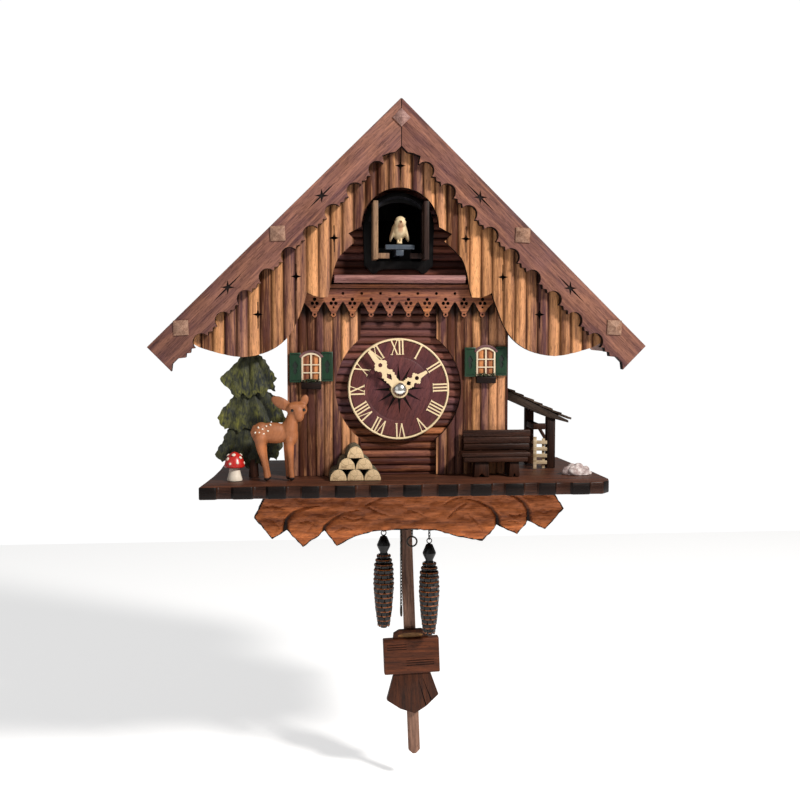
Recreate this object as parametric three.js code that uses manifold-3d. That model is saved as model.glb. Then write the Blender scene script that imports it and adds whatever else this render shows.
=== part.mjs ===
// Wall-hung chalet cuckoo clock with a battery movement, a swinging pendulum and two cones on chains.
// Millimetres, +Z up. The origin is where the wall screw bears in the back board's keyhole, on the
// wall plane; the clock's front faces -Y. Inside the `clock` group heights count from the platform's
// top face, so that the platform, the case and everything standing on it share one simple datum.

import * as THREE from 'three';
import { mergeVertices } from 'three/addons/utils/BufferGeometryUtils.js';
import Module from 'manifold-3d';

const wasm = await Module();
wasm.setup();

// ---------------------------------------------------------------- driving dimensions (mm)

const GLUE_GAP = 0.3;          // between pieces glued or screwed together
const RUN_GAP = 0.4;           // between pieces that move past each other
const HANGER_HEIGHT = 196;     // wall screw above the platform's top

const CASE_HALF_WIDTH = 72.8;
const CHAIN_DISTANCE = 50;     // chains' plane from the wall
const CASE_DEPTH = CHAIN_DISTANCE + 30;  // side walls; the movement stands before the chains
const WALL_T = 6;
const BACK_T = 6;
const FRONT_T = 6;             // horizontal-log front board
const CLADDING_T = 4;          // vertical boards on the front board
const CLADDING_TOP = 126;
const CENTRE_HALF_WIDTH = 25;  // strip of front board left bare between the vertical boards

const RIDGE_HEIGHT = 242.4;
const ROOF_SLOPE = THREE.MathUtils.degToRad(44.4);
const SLOPE_LENGTH = 224.4;    // ridge to eave tip along the bargeboard
const ROOF_DEPTH = CASE_DEPTH + 23;
const ROOF_T = 8;
const ROOF_DROP = 1;           // roof boards lie this far under the bargeboards' top edge
const BARGE_WIDTH = 21.6;
const BARGE_T = 6.5;
const GABLE_T = 5;

const PLATFORM_T = 8;
const PLATFORM_FRONT = CASE_DEPTH + 54.5;  // front edge from the wall
const PLATFORM_LEFT = CASE_HALF_WIDTH + 54.7;
const PLATFORM_RIGHT = CASE_HALF_WIDTH + 61.2;
const BASE_T = 9;              // carved board under the platform
const BASE_DISTANCE = CASE_DEPTH + 28;  // its front face from the wall

const DIAL_HEIGHT = 57.2;
const DIAL_RADIUS = 33.3;
const DIAL_T = 5.4;
const DIAL_RING_WIDTH = 1.3;
const DIAL_RECESS_RADIUS = 41.5;  // round cut-out in the vertical boards

const BUSH_RADIUS = 4;
const HOUR_TUBE_RADIUS = 2.5;
const ARBOR_RADIUS = 1.2;
const MINUTE_HAND_LENGTH = 32.2;
const HOUR_HAND_LENGTH = 21.5;
const HAND_T = 1;
const MINUTE_ANGLE = 321.3;    // degrees clockwise from XII
const HOUR_ANGLE = 57.5;

const ARCH_CENTRE_HEIGHT = 162;
const ARCH_RADIUS = 25;        // arch in the gable panel
const FRAME_T = 4.4;
const FRAME_RADIUS = 23.2;
const OPENING_HALF_WIDTH = 14.6;
const OPENING_BOTTOM = 140.5;
const OPENING_SPRING = 174;    // where the low arch over the bird's opening starts
const OPENING_TOP = 178.5;
const DOOR_HINGE_X = 16.3;
const DOOR_T = 3.2;
const DOOR_HEIGHT = 35;
const CUCKOO_TRAVEL = 24;      // how far the bird and its carriage draw back

const PIVOT_HEIGHT = 104;      // pendulum pivot
const PIVOT_X = 5.3;
const PENDULUM_DISTANCE = 30;  // rod's centre from the wall
const PENDULUM_TILT = THREE.MathUtils.degToRad(2.15);  // caught a little to the right of plumb
const ROD_WIDTH = 8.4;
const ROD_T = 3;
const ROD_LENGTH = 316;        // pivot to tip

const CHAIN_RADIUS = 1;
const WHEEL_HEIGHT = 40;
const CONE_LENGTH = 66;
const CONE_RADIUS = 6.9;
const RING_RADIUS = 3.4;       // pull rings, to the wire's centre
const RING_WIRE = 0.6;

const MOVEMENT_HALF_WIDTH = 55;
const MOVEMENT_BOTTOM = 22;
const MOVEMENT_TOP = 92;
const MOVEMENT_DEPTH = 22;
const BATTERY_RADIUS = 7.2;
const BATTERY_LENGTH = 50.5;

const HATCH_HALF_WIDTH = 45;
const HATCH_BOTTOM = 15;
const HATCH_TOP = 95;
const HATCH_T = 4;

const SPEAKER_Y = -34;
const SPEAKER_HEIGHT = 60;
const SPEAKER_RADIUS = 22;
const SOUND_HOLE_RADIUS = 1.9;

// ---------------------------------------------------------------- materials

const paint = (color, roughness, metalness = 0) =>
  new THREE.MeshStandardMaterial({ color, roughness, metalness });
const WALNUT = paint(0x7c4a33, 0.6);
const AMBER_WOOD = paint(0xa9683a, 0.55);
const LOG_WOOD = paint(0x7a4430, 0.6);
const DARK_WOOD = paint(0x33211b, 0.6);
const BLACK_WOOD = paint(0x17130f, 0.45);
const BASE_WOOD = paint(0x9c5226, 0.5);
const RAW_WOOD = paint(0xc9a77b, 0.75);
const DIAL_WOOD = paint(0x6a3c36, 0.5);
const CREAM = paint(0xf0dcb4, 0.5);
const GREEN = paint(0x0f4a26, 0.5);
const WHITE = paint(0xeee6d8, 0.5);
const LEAF = paint(0x4a4f22, 0.8);
const FAWN = paint(0x8d4c28, 0.6);
const RED = paint(0xc81f1a, 0.35);
const BARK = paint(0x6e6256, 0.9);
const STONE = paint(0xe3d6cf, 0.8);
const PLASTIC = paint(0x18181a, 0.5);
const CELL = paint(0x8c8f94, 0.35, 0.6);
const STEEL = paint(0x9c9c9c, 0.35, 1);
const BRASS = paint(0xc7a35a, 0.3, 1);
const GUNMETAL = paint(0x3a3632, 0.4, 0.9);
const CONE_PAINT = paint(0x16110d, 0.35, 0.3);

// ---------------------------------------------------------------- building blocks

const clock = new THREE.Group();
clock.position.z = -HANGER_HEIGHT;

const SIDES = [['left', -1], ['right', 1]];

function add(name, geometry, material, parent = clock) {
  const mesh = new THREE.Mesh(geometry, material);
  mesh.name = name;
  parent.add(mesh);
  return mesh;
}

function toSolid(geometry) {
  const bare = geometry.clone();
  bare.deleteAttribute('normal');
  bare.deleteAttribute('uv');
  const merged = mergeVertices(bare, 1e-4);
  const vertProperties = new Float32Array(merged.attributes.position.array);
  const triVerts = new Uint32Array(merged.index.array);
  return new wasm.Manifold(new wasm.Mesh({ numProp: 3, vertProperties, triVerts }));
}

function toGeometry(solid) {
  const mesh = solid.getMesh();
  const geometry = new THREE.BufferGeometry();
  geometry.setAttribute('position', new THREE.BufferAttribute(mesh.vertProperties, 3));
  geometry.setIndex(new THREE.BufferAttribute(mesh.triVerts, 1));
  geometry.computeVertexNormals();
  return geometry;
}

const cut = (body, ...tools) =>
  toGeometry(tools.reduce((solid, tool) => solid.subtract(toSolid(tool)), toSolid(body)));
const join = (...pieces) =>
  toGeometry(pieces.slice(1).reduce((solid, piece) => solid.add(toSolid(piece)), toSolid(pieces[0])));

// A block between two corners.
function block([x0, y0, z0], [x1, y1, z1]) {
  const geometry = new THREE.BoxGeometry(x1 - x0, y1 - y0, z1 - z0);
  return geometry.translate((x0 + x1) / 2, (y0 + y1) / 2, (z0 + z1) / 2);
}

// A board whose outline lies in the XZ plane. Its back face is at y = back, and it comes forward.
function board(shape, back, thickness, curveSegments = 8) {
  const geometry = new THREE.ExtrudeGeometry(shape, { depth: thickness, bevelEnabled: false, curveSegments });
  return geometry.rotateX(Math.PI / 2).translate(0, back, 0);
}

// A slab whose outline lies in the XY plane.
function slab(shape, bottom, thickness) {
  const settings = { depth: thickness, bevelEnabled: false, curveSegments: 8 };
  const geometry = new THREE.ExtrudeGeometry(shape, settings);
  return geometry.translate(0, 0, bottom);
}

// A round rod along Y, X or Z, from its start along the positive direction.
function rodAlongY(x, y, z, radius, length, sides = 12) {
  return new THREE.CylinderGeometry(radius, radius, length, sides).translate(x, y + length / 2, z);
}
function rodAlongX(x, y, z, radius, length, sides = 12) {
  const geometry = new THREE.CylinderGeometry(radius, radius, length, sides).rotateZ(-Math.PI / 2);
  return geometry.translate(x + length / 2, y, z);
}
function rodAlongZ(x, y, z, radius, length, sides = 12) {
  const geometry = new THREE.CylinderGeometry(radius, radius, length, sides).rotateX(Math.PI / 2);
  return geometry.translate(x, y, z + length / 2);
}

// A turned piece whose axis runs along Y; the profile is [radius, y] from the front backwards.
function turnedAlongY(profile, sides, x, z) {
  const points = profile.map(([radius, y]) => new THREE.Vector2(radius, y));
  return new THREE.LatheGeometry(points, sides).translate(x, 0, z);
}

// A turned piece whose axis is vertical; the profile is [radius, z] from the bottom up.
function turnedUpright(profile, sides, x, y) {
  const points = profile.map(([radius, z]) => new THREE.Vector2(radius, z));
  return new THREE.LatheGeometry(points, sides).rotateX(Math.PI / 2).translate(x, y, 0);
}

const outline = (points) => new THREE.Shape(points.map(([x, z]) => new THREE.Vector2(x, z)));

// A left-right symmetric outline from the right half's points, listed from the top centre down.
function mirrored(rightHalf) {
  const left = rightHalf.filter(([x]) => x > 0).reverse().map(([x, z]) => [-x, z]);
  return outline([...rightHalf, ...left]);
}

// Points of a circular arc, angles in degrees counted from +X towards +Z.
function arcPoints(x, z, radius, from, to, steps) {
  return Array.from({ length: steps + 1 }, (_, i) => {
    const angle = THREE.MathUtils.degToRad(from + (to - from) * i / steps);
    return [x + radius * Math.cos(angle), z + radius * Math.sin(angle)];
  });
}

// Points of a smooth curve through the given points.
function smooth(points, steps) {
  const curve = new THREE.SplineCurve(points.map(([x, z]) => new THREE.Vector2(x, z)));
  return curve.getPoints(steps).map((point) => [point.x, point.y]);
}

// ---------------------------------------------------------------- layers from the wall forwards (y)

const FRONT_BACK = -CASE_DEPTH - GLUE_GAP;
const FRONT_FACE = FRONT_BACK - FRONT_T;
const CLADDING_BACK = FRONT_FACE - GLUE_GAP;
const CLADDING_FACE = CLADDING_BACK - CLADDING_T;
const ON_CLADDING = CLADDING_FACE - GLUE_GAP;
const DIAL_BACK = FRONT_FACE - GLUE_GAP;
const DIAL_FACE = DIAL_BACK - DIAL_T;
const FRAME_BACK = FRONT_FACE - GLUE_GAP;
const FRAME_FACE = FRAME_BACK - FRAME_T;
const GABLE_BACK = -ROOF_DEPTH + GABLE_T;
const MOVEMENT_FRONT = -CASE_DEPTH + 0.7;
const MOVEMENT_BACK = MOVEMENT_FRONT + MOVEMENT_DEPTH;

// ---------------------------------------------------------------- roof geometry

const COS = Math.cos(ROOF_SLOPE);
const SIN = Math.sin(ROOF_SLOPE);
const TAN = SIN / COS;

// A point on the right slope: `along` from the ridge down the slope, `under` square below the edge.
const onSlope = (along, under) => [along * COS - under * SIN, RIDGE_HEIGHT - along * SIN - under * COS];
// How far along the slope the mitre at the ridge is, at a depth under the edge.
const mitreAlong = (under) => (GLUE_GAP / 2 + under * SIN) / COS;
// Height of the line `under` the roof's edge, at a distance x from the centre.
const slopeHeight = (x, under) => RIDGE_HEIGHT - under / COS - TAN * Math.abs(x);

const ROOF_UNDERSIDE = ROOF_DROP + ROOF_T;
const UNDER_ROOF = ROOF_UNDERSIDE + GLUE_GAP;

// ---------------------------------------------------------------- case

const INNER_HALF_WIDTH = CASE_HALF_WIDTH - WALL_T;

function houseFront(halfWidth, bottom) {
  return [
    [0, slopeHeight(0, UNDER_ROOF)],
    [halfWidth, slopeHeight(halfWidth, UNDER_ROOF)],
    [halfWidth, bottom],
  ];
}

function buildSideWalls() {
  const HOLE_RING = 9;
  for (const [side, sign] of SIDES) {
    const shape = outline([
      [sign * INNER_HALF_WIDTH, GLUE_GAP],
      [sign * CASE_HALF_WIDTH, GLUE_GAP],
      [sign * CASE_HALF_WIDTH, slopeHeight(CASE_HALF_WIDTH, UNDER_ROOF)],
      [sign * INNER_HALF_WIDTH, slopeHeight(INNER_HALF_WIDTH, UNDER_ROOF)],
    ]);
    const wall = board(shape, 0, CASE_DEPTH);
    if (side === 'right') {
      add('side_wall_right', wall, AMBER_WOOD);
      continue;
    }
    const outside = -CASE_HALF_WIDTH - 1;
    const holes = [rodAlongX(outside, SPEAKER_Y, SPEAKER_HEIGHT, SOUND_HOLE_RADIUS, WALL_T + 2, 8)];
    for (let i = 0; i < 6; i++) {
      const angle = i * Math.PI / 3;
      const y = SPEAKER_Y + HOLE_RING * Math.cos(angle);
      const z = SPEAKER_HEIGHT + HOLE_RING * Math.sin(angle);
      holes.push(rodAlongX(-CASE_HALF_WIDTH - 1, y, z, SOUND_HOLE_RADIUS, WALL_T + 2, 8));
    }
    add('side_wall_left', cut(wall, ...holes), AMBER_WOOD);
  }
}

// Outline of the bird's opening, grown by `margin` all round.
function openingShape(margin) {
  const half = OPENING_HALF_WIDTH + margin;
  const rise = OPENING_TOP - OPENING_SPRING;
  const radius = (half * half + rise * rise) / (2 * rise);
  const reach = THREE.MathUtils.radToDeg(Math.asin(half / radius));
  const top = arcPoints(0, OPENING_TOP + margin - radius, radius, 90 - reach, 90 + reach, 8);
  return outline([[-half, OPENING_BOTTOM - margin], [half, OPENING_BOTTOM - margin], ...top]);
}

function buildFront() {
  const front = mirrored([...houseFront(CASE_HALF_WIDTH, GLUE_GAP), [0, GLUE_GAP]]);
  const face = board(front, FRONT_BACK, FRONT_T);
  const opening = board(openingShape(0.6), FRONT_BACK + 1, FRONT_T + 2);
  const bushHole = rodAlongY(0, FRONT_FACE - 1, DIAL_HEIGHT, BUSH_RADIUS + GLUE_GAP, FRONT_T + 2);
  add('front_board', cut(face, opening, bushHole), LOG_WOOD);

  const recess = board(
    outline(arcPoints(0, DIAL_HEIGHT, DIAL_RECESS_RADIUS, 0, 360 - 360 / 48, 47)),
    CLADDING_BACK + 1, CLADDING_T + 2);
  for (const [side, sign] of SIDES) {
    const shape = outline([
      [sign * CENTRE_HALF_WIDTH, GLUE_GAP], [sign * CASE_HALF_WIDTH, GLUE_GAP],
      [sign * CASE_HALF_WIDTH, CLADDING_TOP], [sign * CENTRE_HALF_WIDTH, CLADDING_TOP],
    ]);
    add(`front_cladding_${side}`, cut(board(shape, CLADDING_BACK, CLADDING_T), recess), AMBER_WOOD);
  }
}

function buildBack() {
  const KEYHOLE_SLOT = 2.5;
  const KEYHOLE_RADIUS = 5;
  const KEYHOLE_DROP = 11;
  const half = INNER_HALF_WIDTH - GLUE_GAP;
  const panel = board(mirrored([...houseFront(half, GLUE_GAP), [0, GLUE_GAP]]), 0, BACK_T);
  const hatchHole = block([-HATCH_HALF_WIDTH - RUN_GAP, -BACK_T - 1, HATCH_BOTTOM - RUN_GAP],
    [HATCH_HALF_WIDTH + RUN_GAP, 1, HATCH_TOP + RUN_GAP]);
  const slot = join(
    rodAlongY(0, -BACK_T - 1, HANGER_HEIGHT - KEYHOLE_DROP, KEYHOLE_RADIUS, BACK_T + 2, 16),
    rodAlongY(0, -BACK_T - 1, HANGER_HEIGHT, KEYHOLE_SLOT, BACK_T + 2, 16),
    block([-KEYHOLE_SLOT, -BACK_T - 1, HANGER_HEIGHT - KEYHOLE_DROP], [KEYHOLE_SLOT, 1, HANGER_HEIGHT]));
  add('back_board', cut(panel, hatchHole, slot), DARK_WOOD);

  const FINGER_RADIUS = 8;
  const hatch = block([-HATCH_HALF_WIDTH, -HATCH_T, HATCH_BOTTOM], [HATCH_HALF_WIDTH, 0, HATCH_TOP]);
  const finger = rodAlongY(HATCH_HALF_WIDTH - 16, -HATCH_T - 1, (HATCH_BOTTOM + HATCH_TOP) / 2,
    FINGER_RADIUS, HATCH_T + 2, 16);
  add('back_hatch', cut(hatch, finger), DARK_WOOD);
}

// ---------------------------------------------------------------- roof

const SCALLOP_PITCH = 19.4;
const SCALLOP_COUNT = 9;
const SCALLOP_START = 37.2;    // first scallop, from the ridge
const SCALLOP_RADIUS = 5.5;

// The bargeboard's scalloped lower edge, from the inner apex to the eave tip, as [along, under].
function bargeLowerEdge() {
  const apex = mitreAlong(BARGE_WIDTH);
  const TOOTH = 1.6;
  const edge = [
    [apex, BARGE_WIDTH], [apex + 5.4, BARGE_WIDTH], [apex + 8, BARGE_WIDTH - 2],
    [SCALLOP_START - 3, BARGE_WIDTH - 4], [SCALLOP_START - 0.6, BARGE_WIDTH],
  ];
  for (let i = 0; i < SCALLOP_COUNT; i++) {
    const start = SCALLOP_START + i * SCALLOP_PITCH;
    const middle = start + SCALLOP_RADIUS;
    for (const [along, under] of arcPoints(middle, BARGE_WIDTH, SCALLOP_RADIUS, 180, 360, 6)) {
      edge.push([along, under]);
    }
    const end = start + 2 * SCALLOP_RADIUS;
    const step = (SCALLOP_PITCH - 2 * SCALLOP_RADIUS) / 4;
    edge.push([end + step, BARGE_WIDTH - TOOTH], [end + 2 * step, BARGE_WIDTH]);
    edge.push([end + 3 * step, BARGE_WIDTH - TOOTH]);
  }
  const biteStart = SCALLOP_START + SCALLOP_COUNT * SCALLOP_PITCH;
  const biteMiddle = (biteStart + SLOPE_LENGTH) / 2;
  const biteTop = BARGE_WIDTH - 3;
  edge.push([biteStart, BARGE_WIDTH], [biteMiddle - 2.5, biteTop], [biteMiddle + 2.5, biteTop]);
  edge.push([SLOPE_LENGTH, BARGE_WIDTH]);
  return edge;
}

function buildRoof() {
  for (const [side, sign] of SIDES) {
    const place = ([along, under]) => {
      const [x, z] = onSlope(along, under);
      return [sign * x, z];
    };
    const barge = [[mitreAlong(0), 0], ...bargeLowerEdge(), [SLOPE_LENGTH, 0]].map(place);
    add(`bargeboard_${side}`, board(outline(barge), -ROOF_DEPTH - GLUE_GAP, BARGE_T), WALNUT);

    const roofEnd = SLOPE_LENGTH - ROOF_DROP;
    const roof = [
      [mitreAlong(ROOF_DROP), ROOF_DROP], [mitreAlong(ROOF_UNDERSIDE), ROOF_UNDERSIDE],
      [roofEnd, ROOF_UNDERSIDE], [roofEnd, ROOF_DROP],
    ].map(place);
    add(`roof_board_${side}`, board(outline(roof), 0, ROOF_DEPTH), DARK_WOOD);
  }
}

function buildGablePanel() {
  const OUTER_X = 134;
  const arch = arcPoints(0, ARCH_CENTRE_HEIGHT, ARCH_RADIUS, 0, 90, 8);
  const lobe = smooth([[128.2, 85], [115, 81], [101.5, 78.8], [89, 80.8], [79, 85.4], [71, 93], [65.3, 104],
    [61.2, 115]], 14);
  const leg = smooth([[46.6, 117], [44.9, 124], [43.2, 133], [39.8, 142], [34, 148], [28.6, 152.8]], 8);
  const half = [
    [0, slopeHeight(0, UNDER_ROOF)], [OUTER_X, slopeHeight(OUTER_X, UNDER_ROOF)], [OUTER_X, 88.5],
    ...lobe, [60, 120], [56, 118], [51.5, 116.8], ...leg, [33.4, 157.6],
    ...arch.slice(0, -1), [0, ARCH_CENTRE_HEIGHT + ARCH_RADIUS],
  ];
  add('gable_panel', board(mirrored(half), GABLE_BACK, GABLE_T), AMBER_WOOD);
}

// ---------------------------------------------------------------- trim over the dial

function buildTrim() {
  const TRIM_T = 3.5;
  const PENDANTS = 10;
  const PENDANT_PITCH = 12.2;
  const TRIM_HALF_WIDTH = CASE_HALF_WIDTH - 9;
  const ARCH_TOP = 114;
  const SHOULDER = 108.5;
  const TIP = 103.6;
  const LEDGE_HALF_WIDTH = 42.4;
  const LEDGE_T = 5;
  const LEDGE_REACH = 17;

  const points = [[-TRIM_HALF_WIDTH, CLADDING_TOP - GLUE_GAP], [-TRIM_HALF_WIDTH, ARCH_TOP + 1]];
  for (let i = 0; i < PENDANTS; i++) {
    const x = (i - (PENDANTS - 1) / 2) * PENDANT_PITCH;
    if (i > 0) points.push([x - PENDANT_PITCH / 2, ARCH_TOP]);
    points.push([x - 3.2, SHOULDER], [x - 1.7, SHOULDER - 1]);
    points.push([x - 2, TIP + 1.6], [x, TIP], [x + 2, TIP + 1.6]);
    points.push([x + 1.7, SHOULDER - 1], [x + 3.2, SHOULDER]);
  }
  points.push([TRIM_HALF_WIDTH, ARCH_TOP + 1], [TRIM_HALF_WIDTH, CLADDING_TOP - GLUE_GAP]);
  add('trim_board', board(outline(points), ON_CLADDING, TRIM_T), BASE_WOOD);

  add('trim_ledge', block([-LEDGE_HALF_WIDTH, FRONT_FACE - GLUE_GAP - LEDGE_REACH, CLADDING_TOP + GLUE_GAP],
    [LEDGE_HALF_WIDTH, FRONT_FACE - GLUE_GAP, CLADDING_TOP + GLUE_GAP + LEDGE_T]), WALNUT);
}

// ---------------------------------------------------------------- platform and carved base

// Chains and pendulum drop through this slot.
const SLOT = { x0: -16, x1: 33, y0: -CHAIN_DISTANCE - 7, y1: -PENDULUM_DISTANCE + 7 };

function buildPlatform() {
  const WAVES = 7;
  const WAVE_DEPTH = 3;
  const points = [[PLATFORM_RIGHT - 6, -GLUE_GAP], [-PLATFORM_LEFT + 10, -GLUE_GAP]];
  points.push([-PLATFORM_LEFT + 8.5, -48], [-PLATFORM_LEFT + 6, -PLATFORM_FRONT + 52.5]);
  points.push([-PLATFORM_LEFT + 3, -PLATFORM_FRONT + 24.5]);
  const start = -PLATFORM_LEFT;
  const width = (PLATFORM_RIGHT - 4 + PLATFORM_LEFT) / WAVES;
  for (let i = 0; i < WAVES; i++) {
    const x = start + i * width;
    points.push([x, -PLATFORM_FRONT + WAVE_DEPTH / 2], [x + width * 0.2, -PLATFORM_FRONT]);
    points.push([x + width * 0.62, -PLATFORM_FRONT], [x + width * 0.8, -PLATFORM_FRONT + WAVE_DEPTH]);
  }
  points.push([PLATFORM_RIGHT - 2, -PLATFORM_FRONT + 8], [PLATFORM_RIGHT, -PLATFORM_FRONT + 16]);
  points.push([PLATFORM_RIGHT - 1, -PLATFORM_FRONT + 46.5]);
  const plate = slab(outline(points), -PLATFORM_T, PLATFORM_T);
  const slot = block([SLOT.x0, SLOT.y0, -PLATFORM_T - 1], [SLOT.x1, SLOT.y1, 1]);
  add('platform', cut(plate, slot), DARK_WOOD);
}

function buildCarvedBase() {
  const top = -PLATFORM_T - GLUE_GAP;
  const points = [
    [-86.5, top], [-94.6, -24], [-83.2, -38], [-73.7, -32.6], [-63.5, -43.6], [-49.4, -33.4], [-41.7, -43.2],
    [-30, -37.5], [-17.2, -34.2], [6, -33.4], [24, -34.6], [36, -38.2], [53.4, -41.9], [63.2, -31.5],
    [76.5, -37.7], [83.7, -29.2], [95, -34.7], [107.6, -21.1], [99, top],
  ];
  add('carved_base', board(outline(points), -BASE_DISTANCE + BASE_T, BASE_T), BASE_WOOD);
}

// ---------------------------------------------------------------- dial and hands

function buildDial() {
  const inner = DIAL_RADIUS - DIAL_RING_WIDTH;
  const disc = rodAlongY(0, DIAL_FACE, DIAL_HEIGHT, inner - GLUE_GAP, DIAL_T, 48);
  const bushHole = rodAlongY(0, DIAL_FACE - 1, DIAL_HEIGHT, BUSH_RADIUS + GLUE_GAP, DIAL_T + 2);
  add('dial', cut(disc, bushHole), DIAL_WOOD);
  const RING_PROUD = 0.5;
  const ring = turnedAlongY([[inner, DIAL_FACE - RING_PROUD], [DIAL_RADIUS, DIAL_FACE - RING_PROUD],
    [DIAL_RADIUS, DIAL_BACK], [inner, DIAL_BACK], [inner, DIAL_FACE - RING_PROUD]], 48, 0, DIAL_HEIGHT);
  add('dial_ring', ring, CREAM);
}

// A pierced, saw-edged hand lying along +Z from its hub, before it is turned to its time.
function handShape(length, hubRadius, holeRadius) {
  const hub = arcPoints(0, 0, hubRadius, 70, -250, 16);
  const rightSide = [
    [1.9, length * 0.34], [3.6, length * 0.44], [4.5, length * 0.56], [3, length * 0.62],
    [3.7, length * 0.7], [1.8, length * 0.79], [1.3, length * 0.92],
  ];
  const left = rightSide.map(([x, z]) => [-x, z]);
  const shape = outline([...hub, ...left, [0, length], ...rightSide.reverse()]);
  shape.holes.push(new THREE.Path(
    arcPoints(0, 0, holeRadius, 0, 330, 11).map(([x, z]) => new THREE.Vector2(x, z))));
  return shape;
}

function buildHands() {
  const BUSH_BACK = MOVEMENT_FRONT - GLUE_GAP;
  const NUT_T = 2;
  const NUT_RADIUS = 6.4;
  const NUT_BACK = DIAL_FACE - GLUE_GAP;
  const BUSH_FRONT = NUT_BACK - NUT_T - 0.2;
  const BORE_GAP = RUN_GAP / 2;
  const bushBore = HOUR_TUBE_RADIUS + BORE_GAP;
  const tubeBore = ARBOR_RADIUS + BORE_GAP;
  const HOUR_BACK = BUSH_FRONT - RUN_GAP;
  const HOUR_FACE = HOUR_BACK - HAND_T;
  const MINUTE_BACK = HOUR_FACE - RUN_GAP - 0.3;
  const MINUTE_FACE = MINUTE_BACK - HAND_T;
  const HUB_RADIUS = 5.6;
  const DOME_RADIUS = 4.7;
  const DOME_HEIGHT = 3.8;

  const tube = (bore, radius, front, back) => turnedAlongY(
    [[bore, front], [radius, front], [radius, back], [bore, back], [bore, front]], 16, 0, DIAL_HEIGHT);
  add('center_bush', tube(bushBore, BUSH_RADIUS, BUSH_FRONT, BUSH_BACK), BRASS);

  const hexagon = outline(arcPoints(0, DIAL_HEIGHT, NUT_RADIUS, 0, 300, 5));
  hexagon.holes.push(new THREE.Path(arcPoints(0, DIAL_HEIGHT, BUSH_RADIUS + 0.15, 0, 337.5, 15)
    .map(([x, z]) => new THREE.Vector2(x, z))));
  add('dial_nut', board(hexagon, NUT_BACK, NUT_T), BRASS);

  const turned = (geometry, degrees) => geometry
    .rotateY(THREE.MathUtils.degToRad(degrees)).translate(0, 0, DIAL_HEIGHT);
  const hourShape = handShape(HOUR_HAND_LENGTH, HUB_RADIUS, tubeBore);
  const hourBlade = turned(board(hourShape, HOUR_BACK, HAND_T), HOUR_ANGLE);
  const hourTube = tube(tubeBore, HOUR_TUBE_RADIUS, HOUR_BACK - 0.4, BUSH_BACK);
  add('hour_hand', join(hourBlade, hourTube), CREAM);

  const minuteShape = handShape(MINUTE_HAND_LENGTH, HUB_RADIUS, 0.3);
  const minuteBlade = turned(board(minuteShape, MINUTE_BACK, HAND_T), MINUTE_ANGLE);
  const arbor = rodAlongY(0, MINUTE_FACE + 0.2, DIAL_HEIGHT, ARBOR_RADIUS, BUSH_BACK - MINUTE_FACE - 0.2, 16);
  add('minute_hand', join(minuteBlade, arbor), CREAM);

  const domeBack = MINUTE_FACE - 0.2;
  const dome = arcPoints(0, 0, 1, 90, 0, 6).map(([x, z]) => [x * DOME_RADIUS, domeBack - z * DOME_HEIGHT]);
  add('hand_nut', turnedAlongY([...dome, [0, domeBack]], 24, 0, DIAL_HEIGHT), STEEL);
}

// ---------------------------------------------------------------- bird's doorway

function buildDoorFrame() {
  const bottom = smooth([
    [FRAME_RADIUS, 137.4], [20.5, 136], [18.4, 133.4], [15.4, 132.4], [12.4, 134.6], [6, 135.3],
    [0, 135.2]], 12);
  const arch = arcPoints(0, ARCH_CENTRE_HEIGHT, FRAME_RADIUS, 90, 0, 8);
  arch[0][0] = 0;
  const half = [...arch, ...bottom];
  half[half.length - 1][0] = 0;
  const frame = board(mirrored(half), FRAME_BACK, FRAME_T);
  const opening = board(openingShape(0), FRAME_BACK + 1, FRAME_T + 2);
  add('door_frame', cut(frame, opening), BLACK_WOOD);
}

function buildDoors() {
  const LINK_ALONG = 4.6;
  const LINK_REACH = 8;
  const LINK_HALF_T = 0.8;
  const hingeY = FRAME_FACE - GLUE_GAP - DOOR_T / 2;
  const bottom = OPENING_BOTTOM + 0.5;
  for (const [side, sign] of SIDES) {
    const width = DOOR_HINGE_X - 0.3;
    const leafShape = outline([
      [0, bottom], [width, bottom], [width, bottom + DOOR_HEIGHT + 2],
      [width * 0.5, bottom + DOOR_HEIGHT + 1.3],
      [0, bottom + DOOR_HEIGHT],
    ]);
    const leaf = board(leafShape, DOOR_T / 2, DOOR_T);
    const stile = rodAlongZ(0, 0, bottom, DOOR_T / 2, DOOR_HEIGHT, 16);
    const linkStart = [LINK_ALONG - LINK_HALF_T, 0, bottom + 1];
    const linkEnd = [LINK_ALONG + LINK_HALF_T, LINK_REACH + 1.6, bottom + 4.5];
    const link = block(linkStart, linkEnd);
    const door = join(leaf, stile, link);
    // The leaf is drawn shut, running along +X; open, it stands straight out from the front.
    const mesh = add(`door_${side}`, sign < 0 ? door : mirrorX(door), side === 'left' ? RAW_WOOD : DARK_WOOD);
    mesh.rotation.z = sign * Math.PI / 2;
    mesh.position.set(sign * DOOR_HINGE_X, hingeY, 0);
  }
}

// The mirror image of a closed shape across the YZ plane, its faces still pointing out.
function mirrorX(geometry) {
  const flipped = geometry.clone().scale(-1, 1, 1);
  const index = flipped.index.array;
  for (let i = 0; i < index.length; i += 3) {
    [index[i], index[i + 1]] = [index[i + 1], index[i]];
  }
  return flipped;
}

const PERCH_BACK = FRAME_FACE - 5;
const PERCH_TOP = 150.9;

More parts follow.
